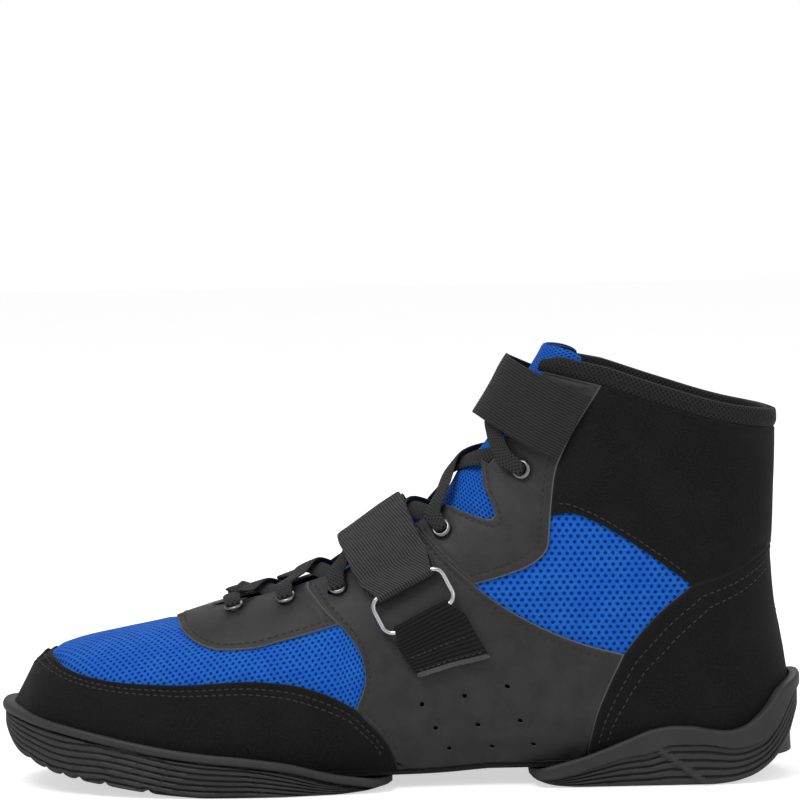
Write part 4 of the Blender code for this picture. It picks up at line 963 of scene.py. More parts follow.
class Net:
    """A material and short calls for its nodes."""

    def __init__(self, name, roughness, metallic=0.0):
        self.made = bpy.data.materials.new(name)
        self.made.use_nodes = True
        self.tree = self.made.node_tree
        self.shader = self.tree.nodes["Principled BSDF"]
        self.set("Roughness", roughness)
        self.set("Metallic", metallic)

    def plug(self, socket, value):
        if isinstance(value, bpy.types.NodeSocket):
            self.tree.links.new(value, socket)
        elif isinstance(value, tuple) and len(value) == 3 and socket.type == "RGBA":
            socket.default_value = (*value, 1.0)
        else:
            socket.default_value = value

    def set(self, name, value):
        self.plug(self.shader.inputs[name], value)

    def add(self, kind, **settings):
        made = self.tree.nodes.new("ShaderNode" + kind)
        for key, value in settings.items():
            setattr(made, key, value)
        return made

    def math(self, operation, a, b=0.0, c=0.0, clamp=False):
        made = self.add("Math", operation=operation, use_clamp=clamp)
        for socket, value in zip(made.inputs, (a, b, c)):
            self.plug(socket, value)
        return made.outputs[0]

    def place(self):
        """Object coordinates in millimetres."""
        scaled = self.add("VectorMath", operation="SCALE")
        self.plug(scaled.inputs[0], self.add("TexCoord").outputs["Object"])
        scaled.inputs["Scale"].default_value = 1000.0
        return scaled.outputs[0]

    def weave(self):
        """(u, v, distance from the edge), in millimetres."""
        parts = self.add("SeparateXYZ")
        self.plug(parts.inputs[0], self.add("Attribute", attribute_name="weave").outputs["Vector"])
        return parts.outputs[0], parts.outputs[1], parts.outputs[2]

    def noise(self, where, size, detail=2.0, rough=0.5):
        made = self.add("TexNoise")
        self.plug(made.inputs["Vector"], where)
        made.inputs["Scale"].default_value = 1.0 / size
        made.inputs["Detail"].default_value = detail
        made.inputs["Roughness"].default_value = rough
        return made.outputs["Fac"]

    def cells(self, where, size, feature="DISTANCE_TO_EDGE"):
        made = self.add("TexVoronoi", feature=feature)
        self.plug(made.inputs["Vector"], where)
        made.inputs["Scale"].default_value = 1.0 / size
        return made.outputs["Distance"]

    def range(self, value, low, high, to_low=0.0, to_high=1.0, kind="SMOOTHSTEP"):
        made = self.add("MapRange", interpolation_type=kind)
        for socket, item in zip(made.inputs, (value, low, high, to_low, to_high)):
            self.plug(socket, item)
        return made.outputs[0]

    def mix(self, share, a, b):
        made = self.add("Mix", data_type="RGBA")
        self.plug(made.inputs[0], share)
        self.plug(made.inputs[6], a)
        self.plug(made.inputs[7], b)
        return made.outputs[2]

    def bump(self, height, depth, strength=1.0, normal=None):
        """Bump with `depth` in mm for a height of 1."""
        made = self.add("Bump")
        made.inputs["Strength"].default_value = strength
        made.inputs["Distance"].default_value = depth * MM
        self.plug(made.inputs["Height"], height)
        if normal is not None:
            self.plug(made.inputs["Normal"], normal)
        return made.outputs[0]


def wave(net, value, pitch):
    """0..1 cosine of a length in mm."""
    turned = net.math("MULTIPLY", value, 2 * math.pi / pitch)
    return net.math("MULTIPLY_ADD", net.math("COSINE", turned), 0.5, 0.5)


def cell_distance(net, u, v, pitch, tall):
    """Distance from the nearest point of a staggered grid, pitch wide and `tall` between rows of a pair."""
    found = []
    for shift in (0.0, 0.5):
        a = net.math("SUBTRACT", net.math("FRACT", net.math("MULTIPLY_ADD", u, 1 / pitch, shift)), 0.5)
        b = net.math("SUBTRACT", net.math("FRACT", net.math("MULTIPLY_ADD", v, 1 / tall, shift)), 0.5)
        a = net.math("MULTIPLY", a, pitch)
        b = net.math("MULTIPLY", b, tall)
        squares = net.math("ADD", net.math("MULTIPLY", a, a), net.math("MULTIPLY", b, b))
        found.append(net.math("SQRT", squares))
    return net.math("MINIMUM", found[0], found[1])


def air_mesh(name, pitch):
    """Knitted spacer mesh: a staggered field of holes, darkened as painted shade, between strands whose
    speckle is partly random yarn tone and partly painted highlight.
    """
    net = Net(name, 0.75)
    u, v, _ = net.weave()
    where = net.place()
    slow = net.noise(where, 9.0)
    wobble = net.math("MULTIPLY_ADD", net.noise(where, 1.6), 0.5, -0.25)
    gap = cell_distance(net, net.math("ADD", u, wobble), net.math("ADD", v, wobble), pitch, pitch * 1.5)
    hole = net.range(gap, pitch * 0.13, pitch * 0.33, 1.0, 0.0)
    strand = net.noise(where, 0.22, 3.0, 0.7)
    # Strand speckle: partly random yarn tone, partly painted highlight that lifts the strands to a paler
    # blue.
    bright = net.mix(net.range(strand, 0.35, 0.72), (0.003, 0.092, 0.54), (0.024, 0.26, 0.95))
    bright = net.mix(net.range(slow, 0.35, 0.7), bright, (0.006, 0.13, 0.68))
    # Painted shade: the holes show the mesh's inner blue, darkened further as shade.
    net.set("Base Color", net.mix(hole, bright, (0.001, 0.020, 0.16)))
    net.set("Specular IOR Level", 0.18)
    net.set("Sheen Weight", 0.05)
    net.set("Sheen Tint", (0.25, 0.5, 1.0, 1.0))
    fine = net.bump(strand, 0.10, 0.7)
    net.set("Normal", net.bump(net.math("SUBTRACT", 1.0, hole), 0.40, 0.8, fine))
    return net.made


def suede():
    """Near-black synthetic suede with a short speckled nap, and a painted highlight that makes it paler along
    its edge.
    """
    net = Net("suede", 0.95)
    where = net.place()
    _, _, edge = net.weave()
    nap = net.noise(where, 0.32, 4.0, 0.75)
    slow = net.noise(where, 16.0, 3.0)
    dark = net.mix(net.range(nap, 0.38, 0.66), (0.0055, 0.0055, 0.0058), (0.020, 0.020, 0.0205))
    dark = net.mix(net.range(slow, 0.42, 0.7, 0.0, 0.4), dark, (0.017, 0.017, 0.0175))
    # Painted highlight: the colour turns paler over the last 0.7 mm to the panel's edge.
    net.set("Base Color", net.mix(net.range(edge, 0.0, 0.7, 0.35, 0.0), dark, (0.035, 0.033, 0.031)))
    net.set("Sheen Weight", 0.08)
    net.set("Sheen Roughness", 0.5)
    net.set("Specular IOR Level", 0.1)
    net.set("Normal", net.bump(nap, 0.16, 0.8))
    return net.made


def leather():
    """Smooth charcoal synthetic leather: fine pores, slight mottling, and a painted highlight that turns its
    edge pale.
    """
    net = Net("leather", 0.5)
    where = net.place()
    _, _, edge = net.weave()
    slow = net.noise(where, 7.0, 4.0, 0.6)
    pore = net.cells(where, 0.75)
    fine = net.noise(where, 0.28, 3.0, 0.65)
    tone = net.mix(net.range(slow, 0.3, 0.72), (0.020, 0.020, 0.0205), (0.034, 0.034, 0.0345))
    tone = net.mix(net.range(fine, 0.45, 0.75, 0.0, 0.25), tone, (0.052, 0.052, 0.053))
    # Painted highlight: within half a millimetre of the panel's edge the colour turns pale.
    net.set("Base Color", net.mix(net.range(edge, 0.1, 0.5, 0.8, 0.0), tone, (0.17, 0.165, 0.16)))
    net.set("Roughness", net.range(slow, 0.3, 0.7, 0.46, 0.60))
    net.set("Specular IOR Level", 0.42)
    grain = net.bump(net.range(pore, 0.0, 0.16), 0.05, 0.55)
    net.set("Normal", net.bump(net.noise(where, 2.2, 3.0), 0.22, 0.35, grain))
    return net.made


def ribbed(name, dark, light, along_pitch, across_pitch, lean=0.0, cross=0.5, depth=0.14, streak=0.5):
    """Woven tape: ribs across its width that lean by `lean`, and yarns along it with a share of `cross`."""
    net = Net(name, 0.85)
    u, v, edge = net.weave()
    where = net.place()
    length = wave(net, u, along_pitch)
    width = wave(net, net.math("MULTIPLY_ADD", u, lean, v), across_pitch)
    yarn = net.math("MULTIPLY_ADD", length, cross, net.math("MULTIPLY", width, 1 - cross))
    fuzz = net.noise(where, 0.2, 3.0, 0.7)
    share = net.math("MULTIPLY_ADD", fuzz, streak, net.math("MULTIPLY", yarn, 1 - streak * 0.5))
    tone = net.mix(net.range(share, 0.25, 0.85), dark, light)
    tone = net.mix(net.range(net.noise(where, 5.0), 0.4, 0.75, 0.0, 0.25), tone, light)
    # Painted highlight: the tape turns toward its light colour within half a millimetre of its edges.
    net.set("Base Color", net.mix(net.range(edge, 0.0, 0.5, 0.25, 0.0), tone, light))
    net.set("Sheen Weight", 0.04)
    net.set("Specular IOR Level", 0.2)
    net.set("Normal", net.bump(yarn, depth, 0.8, net.bump(fuzz, 0.06, 0.7)))
    return net.made


def braid(name, dark, light, pitch, depth=0.2):
    """Flat woven lace: small diamonds from two crossing sets of yarn."""
    net = Net(name, 0.78)
    u, v, _ = net.weave()
    where = net.place()
    one = wave(net, net.math("MULTIPLY_ADD", v, 0.8, u), pitch)
    two = wave(net, net.math("MULTIPLY_ADD", v, -0.8, u), pitch)
    yarn = net.math("MAXIMUM", one, two)
    fuzz = net.noise(where, 0.18, 3.0, 0.7)
    share = net.math("MULTIPLY_ADD", fuzz, 0.4, net.math("MULTIPLY", yarn, 0.7))
    net.set("Base Color", net.mix(net.range(share, 0.3, 0.95), dark, light))
    net.set("Sheen Weight", 0.04)
    net.set("Specular IOR Level", 0.2)
    net.set("Normal", net.bump(yarn, depth, 0.9, net.bump(fuzz, 0.05, 0.6)))
    return net.made


def rubber():
    """Satin moulded rubber, dark grey, with painted shade that darkens its deeply carved grooves."""
    net = Net("sole_rubber", 0.55)
    where = net.place()
    slow = net.noise(where, 14.0, 4.0, 0.6)
    fine = net.noise(where, 0.5, 4.0, 0.7)
    tone = net.mix(net.range(slow, 0.3, 0.7), (0.030, 0.030, 0.031), (0.043, 0.043, 0.044))
    tone = net.mix(net.range(fine, 0.5, 0.8, 0.0, 0.3), tone, (0.06, 0.06, 0.061))
    _, _, groove = net.weave()
    # Painted shade: where the wall is carved deepest, the colour falls to near black.
    net.set("Base Color", net.mix(net.range(groove, 1.1, 1.65, 0.0, 0.75), tone, (0.006, 0.006, 0.006)))
    net.set("Roughness", net.range(slow, 0.3, 0.7, 0.48, 0.62))
    net.set("Specular IOR Level", 0.4)
    net.set("Normal", net.bump(fine, 0.05, 0.5))
    return net.made


def cloth(name, dark, light, size=0.55, depth=0.12, roughness=0.9):
    """Plain knitted or woven cloth seen from close: small cells over slow shade."""
    net = Net(name, roughness)
    where = net.place()
    cell = net.cells(where, size)
    slow = net.noise(where, 8.0, 3.0)
    share = net.math("MULTIPLY_ADD", net.range(cell, 0.0, 0.35), 0.7, net.math("MULTIPLY", slow, 0.4))
    net.set("Base Color", net.mix(share, dark, light))
    net.set("Sheen Weight", 0.05)
    net.set("Specular IOR Level", 0.15)
    net.set("Normal", net.bump(net.range(cell, 0.0, 0.35), depth, 0.8))
    return net.made


def perforated():
    """Collar textile with rows of small punched holes, coloured near black as painted shade."""
    net = Net("collar_textile", 0.8)
    u, v, _ = net.weave()
    where = net.place()
    gap = cell_distance(net, u, v, 1.9, 1.7)
    hole = net.range(gap, 0.26, 0.48, 1.0, 0.0)
    fuzz = net.noise(where, 0.3, 3.0, 0.7)
    tone = net.mix(fuzz, (0.012, 0.012, 0.0125), (0.034, 0.033, 0.033))
    # Painted shade: the punched holes are coloured near black.
    net.set("Base Color", net.mix(hole, tone, (0.003, 0.003, 0.003)))
    net.set("Sheen Weight", 0.06)
    net.set("Specular IOR Level", 0.2)
    fine = net.bump(fuzz, 0.08, 0.6)
    net.set("Normal", net.bump(net.math("SUBTRACT", 1.0, hole), 0.25, 0.8, fine))
    return net.made


def thread():
    net = Net("thread", 0.6)
    where = net.place()
    twist = net.noise(where, 0.35, 2.0)
    net.set("Base Color", net.mix(twist, (0.014, 0.012, 0.010), (0.050, 0.040, 0.030)))
    net.set("Normal", net.bump(twist, 0.08, 0.7))
    return net.made


def cut_edge(name, dark, light):
    """The raw edge of a cut panel: paler backing with short fibres."""
    net = Net(name, 0.9)
    fibre = net.noise(net.place(), 0.3, 3.0, 0.7)
    net.set("Base Color", net.mix(fibre, dark, light))
    net.set("Normal", net.bump(fibre, 0.08, 0.6))
    return net.made


def metal(name, colour, roughness, wear=0.06):
    """Metal wire with faint drawn scratches."""
    net = Net(name, roughness, 1.0)
    where = net.place()
    scratch = net.noise(where, 0.6, 5.0, 0.7)
    slow = net.noise(where, 4.0)
    dull = tuple(c * 0.7 for c in colour)
    net.set("Base Color", net.mix(net.range(slow, 0.35, 0.75), colour, dull))
    net.set("Roughness", net.range(scratch, 0.35, 0.7, roughness, roughness + 0.14))
    net.set("Normal", net.bump(scratch, wear * 0.3, 0.3))
    return net.made


# ---------------------------------------------------------------- upper


def rounded(d, size=0.8, drop=0.45):
    """Fall of a cut edge over its last `size` mm."""
    return -drop * (1 - np.clip(d / size, 0, 1)) ** 2


def shell_level(dips=(), lip=0.0, height=0.0, waves=0.12):
    """Outside of an overlay panel: rounded edge, stitched-down dips and an optional turned lip."""

    def level(d, s, t):
        found = height + rounded(d) + waves * ripple(s, t) * smooth(d / 8.0)
        for at in dips:
            found = found - 0.22 * np.exp(-((d - at) / 0.7) ** 2)
        if lip:
            found = found + lip * smooth(d / 0.4) * (1 - smooth((d - 1.5) / 0.9))
        return found

    return level


def toe_rise(s):
    """Fullness of the toe over the puff."""
    return 0.5 * smooth((-175.0 - s) / 40.0)


def mesh_level(outline, low=-1.45, high=-0.55, rise=4.5):
    """Mesh cloth over foam: level under its overlays, swelling where it shows."""
    loop = inset(outline, 0.0)

    def level(d, s, t):
        st = np.stack([s, t], axis=1)
        shown = np.where(inside(st, loop), segment_distance(st, [loop]), 0.0)
        waves = 0.15 * ripple(s, t) * smooth(shown / 8.0)
        return low + (high - low) * smooth(shown / rise) + waves + toe_rise(s)

    return level


def thinned(outline, keep=4):
    return outline[::keep]


def build_upper():
    suede_finish = suede()
    hide = leather()
    vamp_mesh = air_mesh("vamp_air_mesh", VAMP_MESH_PITCH)
    quarter_mesh = air_mesh("quarter_air_mesh", QUARTER_MESH_PITCH)
    lining = cloth("lining_textile", (0.010, 0.010, 0.0105), (0.030, 0.030, 0.031))
    padding = cloth("foam_padding", (0.03, 0.03, 0.03), (0.07, 0.07, 0.07), 0.8)
    stiff = cut_edge("fibre_board", (0.012, 0.012, 0.012), (0.03, 0.03, 0.03))
    suede_edge = cut_edge("suede_edge", (0.010, 0.010, 0.010), (0.030, 0.029, 0.028))
    hide_edge = cut_edge("leather_edge", (0.10, 0.095, 0.09), (0.22, 0.21, 0.20))
    sewn = thread()

    def cap_level(d, s, t):
        toe = smooth((-206.0 - s) / 16.0) * smooth((np.abs(t) - 30.0) / 50.0)
        return shell_level((2.8, 5.1), lip=0.35)(d, s, t) + 2.1 * toe + toe_rise(s)

    panel("toe_cap_suede", cap_outline(), cap_level, SHELL_FLOOR, suede_finish,
          rings=(0.2, 0.5, 0.9, 1.5, 2.1, 2.8, 3.4, 4.4, 5.1, 5.8), edge=suede_edge, nodes=("toe_cap",))
    panel("toe_puff_board", inset(thinned(cap_outline()), 6.5), flat_level(BOARD_LEVEL), MESH_FLOOR, stiff,
          spacing=5.0, nodes=("toe_puff",))
    panel("vamp_air_mesh", inset(thinned(vamp_outline()), -UNDERLAP), mesh_level(vamp_outline()),
          MESH_FLOOR, vamp_mesh, spacing=2.4, nodes=("vamp_mesh",))
    holes = eyelet_holes([0, 1])
    panel("vamp_facing_leather", facing_outline(), shell_level((2.2,)), SHELL_FLOOR, hide,
          holes + [flipped(h, -1.0) for h in holes], rings=LEATHER_RINGS,
          spacing=2.0, edge=hide_edge, nodes=("vamp_facing",))
    panel("heel_counter_suede", counter_outline(), shell_level((2.4, 4.8)), SHELL_FLOOR, suede_finish,
          rings=(0.2, 0.5, 0.9, 1.7, 2.4, 3.1, 4.2, 4.8, 5.4), uv="side", edge=hide_edge,
          nodes=("heel_counter_cover",))
    panel("heel_stiffener_board", stiffener_outline(), flat_level(BOARD_LEVEL), MESH_FLOOR, stiff,
          spacing=5.0, nodes=("heel_counter_stiffener",))
    for word, side in SIDES:
        holes = [flipped(h, side) for h in eyelet_holes([2, 3]) + vent_holes()]
        panel("midfoot_leather_" + word, flipped(midfoot_outline(), side), shell_level((2.2,)),
              SHELL_FLOOR, hide, holes, spacing=2.2, rings=LEATHER_RINGS, uv="side", edge=hide_edge,
              nodes=("midfoot_overlay_" + word,))
        holes = [flipped(h, side) for h in eyelet_holes([4, 5, 6])]
        panel("ankle_eyestay_leather_" + word, flipped(eyestay_outline(), side), shell_level((2.2,)),
              SHELL_FLOOR, hide, holes, spacing=2.0, rings=LEATHER_RINGS, uv="side", edge=hide_edge,
              nodes=("ankle_eyestay_" + word,))
        shown = flipped(quarter_outline(), side)
        panel("quarter_air_mesh_" + word, inset(thinned(shown), -UNDERLAP), mesh_level(shown),
              MESH_FLOOR, quarter_mesh, spacing=2.4, uv="side", nodes=("quarter_mesh_" + word,))
        panel("collar_suede_" + word, flipped(collar_outline(), side), collar_level, SHELL_FLOOR,
              suede_finish, rings=(0.2, 0.5, 0.9, 1.7, 2.4, 3.2), uv="side", edge=suede_edge,
              nodes=("collar_quarter_" + word,))
        panel("collar_foam_pad_" + word, flipped(foam_outline(), side), flat_level(BOARD_LEVEL),
              MESH_FLOOR, padding, spacing=5.0, nodes=("collar_foam_" + word,))
        panel("quarter_lining_cloth_" + word, flipped(quarter_lining_outline(), side),
              lambda d, s, t: LINING_LEVEL + 0.15 * ripple(s, t), LINING_FLOOR, lining,
              spacing=4.0, nodes=("quarter_lining_" + word,))
    vamp = sole_run(LINING_JOIN, TIP)
    panel("vamp_lining_cloth", joined(vamp, mirrored(vamp)[::-1]), flat_level(LINING_LEVEL),
          LINING_FLOOR, lining, spacing=4.5, nodes=("vamp_lining",))
    build_stitching(sewn)
    build_tongue(quarter_mesh, lining)
    build_collar_roll()


def flat_level(level):
    """A layer that stays at one level."""
    return lambda d, s, t: np.full_like(d, level)


def collar_level(d, s, t):
    """The padded quarter swells a little between its seams."""
    puff = 0.9 * smooth(d / 14.0)
    return shell_level((2.4,), waves=0.18)(d, s, t) + puff


def both_sides(line):
    return [line, [(s, -t) for s, t in line]]


def beside(line, amount, outline):
    """A stitch line `amount` inside a panel, next to one of its edges, and its copy on the other side."""
    choices = [offset_line(line, side * amount) for side in (1.0, -1.0)]
    kept = [[p for p, k in zip(c, inside(np.array(c), outline)) if k] for c in choices]
    return both_sides(max(kept, key=len))


def build_stitching(finish):
    """Stitch rows just inside the panels' seams."""
    cap = on_ridge(side_line(CAP_EDGE)) + side_line(CAP_REAR)[:-2]
    rows = beside(cap, 2.8, cap_outline()) + beside(cap, 5.1, cap_outline())
    stitch("toe_cap_stitching", rows, lambda s, t: toe_rise(s) - 0.15, finish)
    saddle = side_line(SADDLE_UP)[:-1] + side_line(SADDLE_DOWN) + side_line(CAP_REAR)[1:-2]
    stay = side_line(EYESTAY_LOW) + side_line(EYESTAY_HIGH)[1:]
    rows = beside(on_ridge(side_line(FACING_LOW)), 2.4, facing_outline())
    rows += beside(saddle, 2.4, midfoot_outline())
    rows += beside(saddle_rear()[2:], 2.4, midfoot_outline())
    rows += beside(side_line(NOTCH, 3.0), 2.4, eyestay_outline())
    rows += beside(stay, 2.4, eyestay_outline())
    stitch("leather_stitching", rows, -0.15, finish)
    counter = side_line(COUNTER_TOP)[1:] + side_line(COUNTER_MIDDLE)[1:] + side_line(COUNTER_FRONT)[1:-1]
    rows = beside(counter, 2.6, counter_outline()) + beside(counter, 5.0, counter_outline())
    stitch("counter_stitching", rows, -0.15, finish)
    stitch("collar_stitching", beside(side_line(SUEDE_LOW), 2.6, collar_outline()), 0.0, finish)


def build_tongue(blue, lining):
    places = eyelet_places()
    middle = (places[4][0] + places[5][0]) / 2

    def cover(d, s, t):
        swell = THROAT_SWELL * np.exp(-((s - middle) / 15.0) ** 2 - (t / 11.0) ** 2)
        rim = 0.35 * (1 - smooth(d / 3.0))
        return swell + TONGUE_LEVEL - rim + 0.2 * ripple(s, t) * smooth(d / 6.0)

    panel("tongue_air_mesh", tongue_outline(0.0), cover, TONGUE_FLOOR, blue, spacing=2.6, body="tongue",
          margin=0.0, nodes=("tongue_cover",))
    panel("tongue_pad", tongue_outline(1.0), lambda d, s, t: PAD_LEVEL - 0.3 * (1 - smooth(d / 3.0)),
          PAD_FLOOR, lining, spacing=4.0, body="tongue", margin=0.0, nodes=("tongue_padding",))


def build_collar_roll():
    """Padded roll round the top of the shaft, sewn between the quarters and the lining."""
    rear = side_line(RIM_BACK)
    front = side_line(RIM_FRONT)
    line = front[::-1][:-1] + rear[:-1]
    line = [p for p in line if p[1] < GIRTH - 3.0] + [(rear[-1][0], GIRTH)]
    full = line + behind_line(line[:-1])[::-1]
    full = resampled([(s, t, 0.0) for s, t in full], 2.0)[:, :2]
    s, t = full[:, 0], full[:, 1]
    base = place_points(s, t, np.zeros(len(s)))
    higher = place_points(s + 6.0, t, np.zeros(len(s)))
    up = higher - base
    up /= np.linalg.norm(up, axis=1)[:, None]
    out = normals(s, folded(t))
    run = np.concatenate([[0], np.cumsum(np.linalg.norm(np.diff(base, axis=0), axis=1))])
    rows = []
    weave = []
    taper = smooth(np.minimum(run, run[-1] - run) / 9.0)
    for n in range(len(s)):
        ring = []
        tag = []
        swell = 1 + 0.05 * math.sin(run[n] * 0.21) + 0.03 * math.sin(run[n] * 0.57 + 1)
        for k in range(28):
            turn = 2 * math.pi * k / 28
            a, b = math.cos(turn), math.sin(turn)
            square = 1 / max(abs(a), abs(b)) ** 0.45
            wide = (ROLL_THICK / 2 + 0.35) * square * swell * (0.62 + 0.38 * taper[n])
            tall = (ROLL_TALL / 2) * square * (0.7 + 0.3 * taper[n])
            # Two sewn grooves run along the roll.
            groove = sum(0.45 * math.exp(-((turn - seam) / 0.16) ** 2) for seam in ROLL_SEAMS)
            # Its foot stays on the rim where it thins towards its ends, so no slot opens under it.
            foot = (ROLL_TALL / 2) * (0.7 + 0.3 * taper[n])
            point = base[n] + out[n] * (ROLL_LEVEL + a * (wide - groove)) + up[n] * (foot + b * tall)
            ring.append(point)
            tag.append((run[n], turn * 3.2, 1.0))
        rows.append(ring)
        weave.append(tag)
    grid("collar_padded_roll", rows, [perforated()], closed_columns=True, weave=weave, nodes=("collar_roll",))


# ---------------------------------------------------------------- soles


def dense_outline(flat_end, round_end, half, count):
    """Plan of a sole: outer side, rounded end, inner side. The corners of its flat end are rounded too."""
    side = []
    for n in range(count):
        turn = math.pi / 2 * (n / (count - 0.5))
        x = flat_end + (round_end - flat_end) * math.sin(turn)
        short = max(0.0, SOLE_CORNER - abs(x - flat_end))
        side.append((x, half(x) - SOLE_CORNER + math.sqrt(SOLE_CORNER ** 2 - short ** 2)))
    outer = [(x, swing_at(x) - y) for x, y in side]
    inner = [(x, swing_at(x) + y) for x, y in side[::-1]]
    return outer + inner


def notch_depth(x, notches):
    """Height of the lug notches cut across the tread at their x places."""
    x = np.asarray(x, float)
    return 1.3 * sum((np.exp(-((x - n) / 1.2) ** 2) for n in notches), np.zeros_like(x))


def build_pod(name, flat_end, round_end, half, tread, top, carve, finish, node, count, reach, levels,
              notches=()):
    """A cupped sole: tread, carved wall, rounded top bead and the cup's inner side."""
    outline = np.array(dense_outline(flat_end, round_end, half, count))
    x = outline[:, 0]
    step = np.roll(outline, -1, axis=0) - np.roll(outline, 1, axis=0)
    step[0] = outline[1] - outline[0]
    step[-1] = outline[-1] - outline[-2]
    inward = np.stack([-step[:, 1], step[:, 0]], axis=1)
    inward /= np.linalg.norm(inward, axis=1)[:, None]
    if signed_area([tuple(p) for p in outline]) < 0:
        inward = -inward
    low = curve(tread, x)
    floor = np.array([floor_height(place) for place in x])
    high = np.maximum(curve(top, x), floor + 0.3)
    cut = notch_depth(x, notches)
    flat = np.zeros(len(x))

    def ring(depth, height, groove=flat):
        moved = outline + inward * (depth + flat)[:, None]
        return np.column_stack([moved, height, groove])

    rows = [
        ring(3.4, curve(tread, x + inward[:, 0] * 3.4) + cut),
        ring(2.4, np.minimum(curve(tread, x + inward[:, 0] * 2.4) + 0.1, high - 1) + cut),
    ]
    for share in np.linspace(0, 1, levels + 1):
        height = low + 0.5 + (high - low - 0.5) * share
        depth = carve(x, height, low, high)
        rows.append(ring(depth, height + cut * (1 - smooth(share / 0.15)), depth))
    more = reach(x)
    rows.append(ring(1.9 + more * 0.6, high))
    rows.append(ring(2.7 + more * 0.9, high - 0.35 - more * 0.1))
    rows.append(ring(3.2 + more, (high * 2 + floor) / 3))
    rows.append(ring(3.4, floor))
    return closed_sole(name, np.array(rows), finish, node, notches)


def closed_sole(name, rows, finish, node, notches):
    """The rings of a sole, closed by strips across its tread and across the cup's floor."""
    r, c = rows.shape[:2]
    grooves = list(rows[:, :, 3].ravel())
    vertices = [tuple(p) for p in rows[:, :, :3].reshape(-1, 3)]
    faces = []
    for i in range(r - 1):
        for j in range(c):
            m = (j + 1) % c
            faces.append((i * c + j, i * c + m, (i + 1) * c + m, (i + 1) * c + j))
    across_count = 24
    for base in (0, (r - 1) * c):
        index = []
        for j in range(c // 2):
            a, b = base + j, base + c - 1 - j
            near, far = np.array(vertices[a]), np.array(vertices[b])
            wide = np.linalg.norm(near - far)
            strip = [a]
            for k in range(1, across_count):
                share = k / across_count
                point = near * (1 - share) + far * share
                if base == 0 and not (len(notches) and point[0] < notches[-1]):
                    point[2] += tread_relief(point[0], point[1], min(share, 1 - share) * wide)
                strip.append(len(vertices))
                vertices.append(tuple(point))
                grooves.append(0.0)
            index.append(strip + [b])
        for j in range(c // 2 - 1):
            for k in range(across_count):
                faces.append((index[j][k], index[j][k + 1], index[j + 1][k + 1], index[j + 1][k]))
    # Each point's carve depth rides in the weave attribute; the rubber paints shade in the grooves from it.
    weave = [(0.0, 0.0, g) for g in grooves]
    return make(name, vertices, faces, [finish], weave, sharp=60.0, nodes=(node,))


def tread_relief(x, y, from_edge):
    """Cross grooves in the tread, fading out towards its rim. Upward is into the rubber."""
    bars = 0.5 + 0.5 * math.cos(2 * math.pi * (x + 0.35 * abs(y)) / 7.0)
    return 0.9 * float(smooth((bars - 0.72) / 0.2)) * float(smooth((from_edge - 3.0) / 2.0))


def fore_carve(x, height, low, high):
    """Smooth bead over six grooves that close up towards both ends of the wall."""
    bead = 3.6
    from_top = high - height
    tall = np.maximum(high - low, 0.5)
    wall_top = np.maximum(tall - bead, 0.3)
    v = np.clip((height - low) / wall_top, 0, 1.2)
    wander = 0.10 * np.sin(x * 0.045) + 0.05 * np.sin(x * 0.11 + 1.0)
    phase = (v + wander * smooth((x + 225) / 30)) * FORE_GROOVES
    groove = smooth((np.cos(2 * math.pi * phase) - 0.1) / 0.8)
    fade = smooth((1.0 - v) / 0.06) * smooth(v / 0.05)
    depth = 1.0 + 0.75 * groove * fade
    crown = np.clip(from_top / bead, 0, 1)
    round_bead = 1.3 * (1 - np.sqrt(np.clip(1 - (2 * crown - 0.9) ** 2, 0, 1)))
    seam = 0.9 * np.exp(-((from_top - bead) / 0.45) ** 2)
    return np.where(from_top < bead, round_bead, depth) + seam * smooth(tall / 6)


def heel_carve(x, height, low, high):
    """Smooth upper band whose lower edge dips round the heel, a leaning bar, and grooves beside it."""
    edge = np.maximum(curve(HEEL_BAND, x), low + 0.2)
    below = edge - height
    from_top = high - height
    crown = 1.1 * (1 - np.sqrt(np.clip(1 - (1 - np.clip(from_top / 1.5, 0, 1)) ** 2, 0, 1)))
    (top_x, top_z), (low_x, low_z) = HEEL_BAR
    bar = top_x + (low_x - top_x) * (top_z - height) / (top_z - low_z)
    on_bar = 1 - smooth((np.abs(x - bar) - 1.7) / 0.6)
    v = np.clip((height - low) / np.maximum(edge - low, 0.5), 0, 1)
    groove = smooth((np.cos(2 * math.pi * v * HEEL_GROOVES) - 0.1) / 0.8)
    carved = smooth(below / 0.5) * (1 - on_bar) * smooth((edge - low) / 4.0)
    return crown + carved * (0.9 + 0.8 * groove * smooth(v / 0.06))


def build_soles():
    finish = rubber()
    build_pod("forefoot_sole_rubber", FORE_END, FORE_TIP, fore_half, FORE_TREAD, FORE_TOP, fore_carve, finish,
              "outsole_forefoot", 150, lambda x: 3.0 * smooth((-214.0 - x) / 16.0), 46, TREAD_NOTCHES)
    build_pod("heel_sole_rubber", HEEL_FRONT, HEEL_BACK, heel_half, HEEL_TREAD, HEEL_TOP, heel_carve, finish,
              "outsole_heel", 110, lambda x: 1.1 * smooth((x - 20.0) / 20.0), 80)
    plate("insole_fibre_board", TOE_X + 2.5, MERGE - 2.5, 1.4, -0.4, -2.0, "insole_board",
          cut_edge("insole_board_fibre", (0.008, 0.008, 0.008), (0.025, 0.025, 0.025)), 0.0)
    plate("insole_sock_cloth", TOE_X + 13.0, MERGE - 20.0, 8.0, 3.2, 0.5, "insole_sock",
          cloth("sock_textile", (0.012, 0.012, 0.0125), (0.04, 0.04, 0.041), 0.7), 0.35)


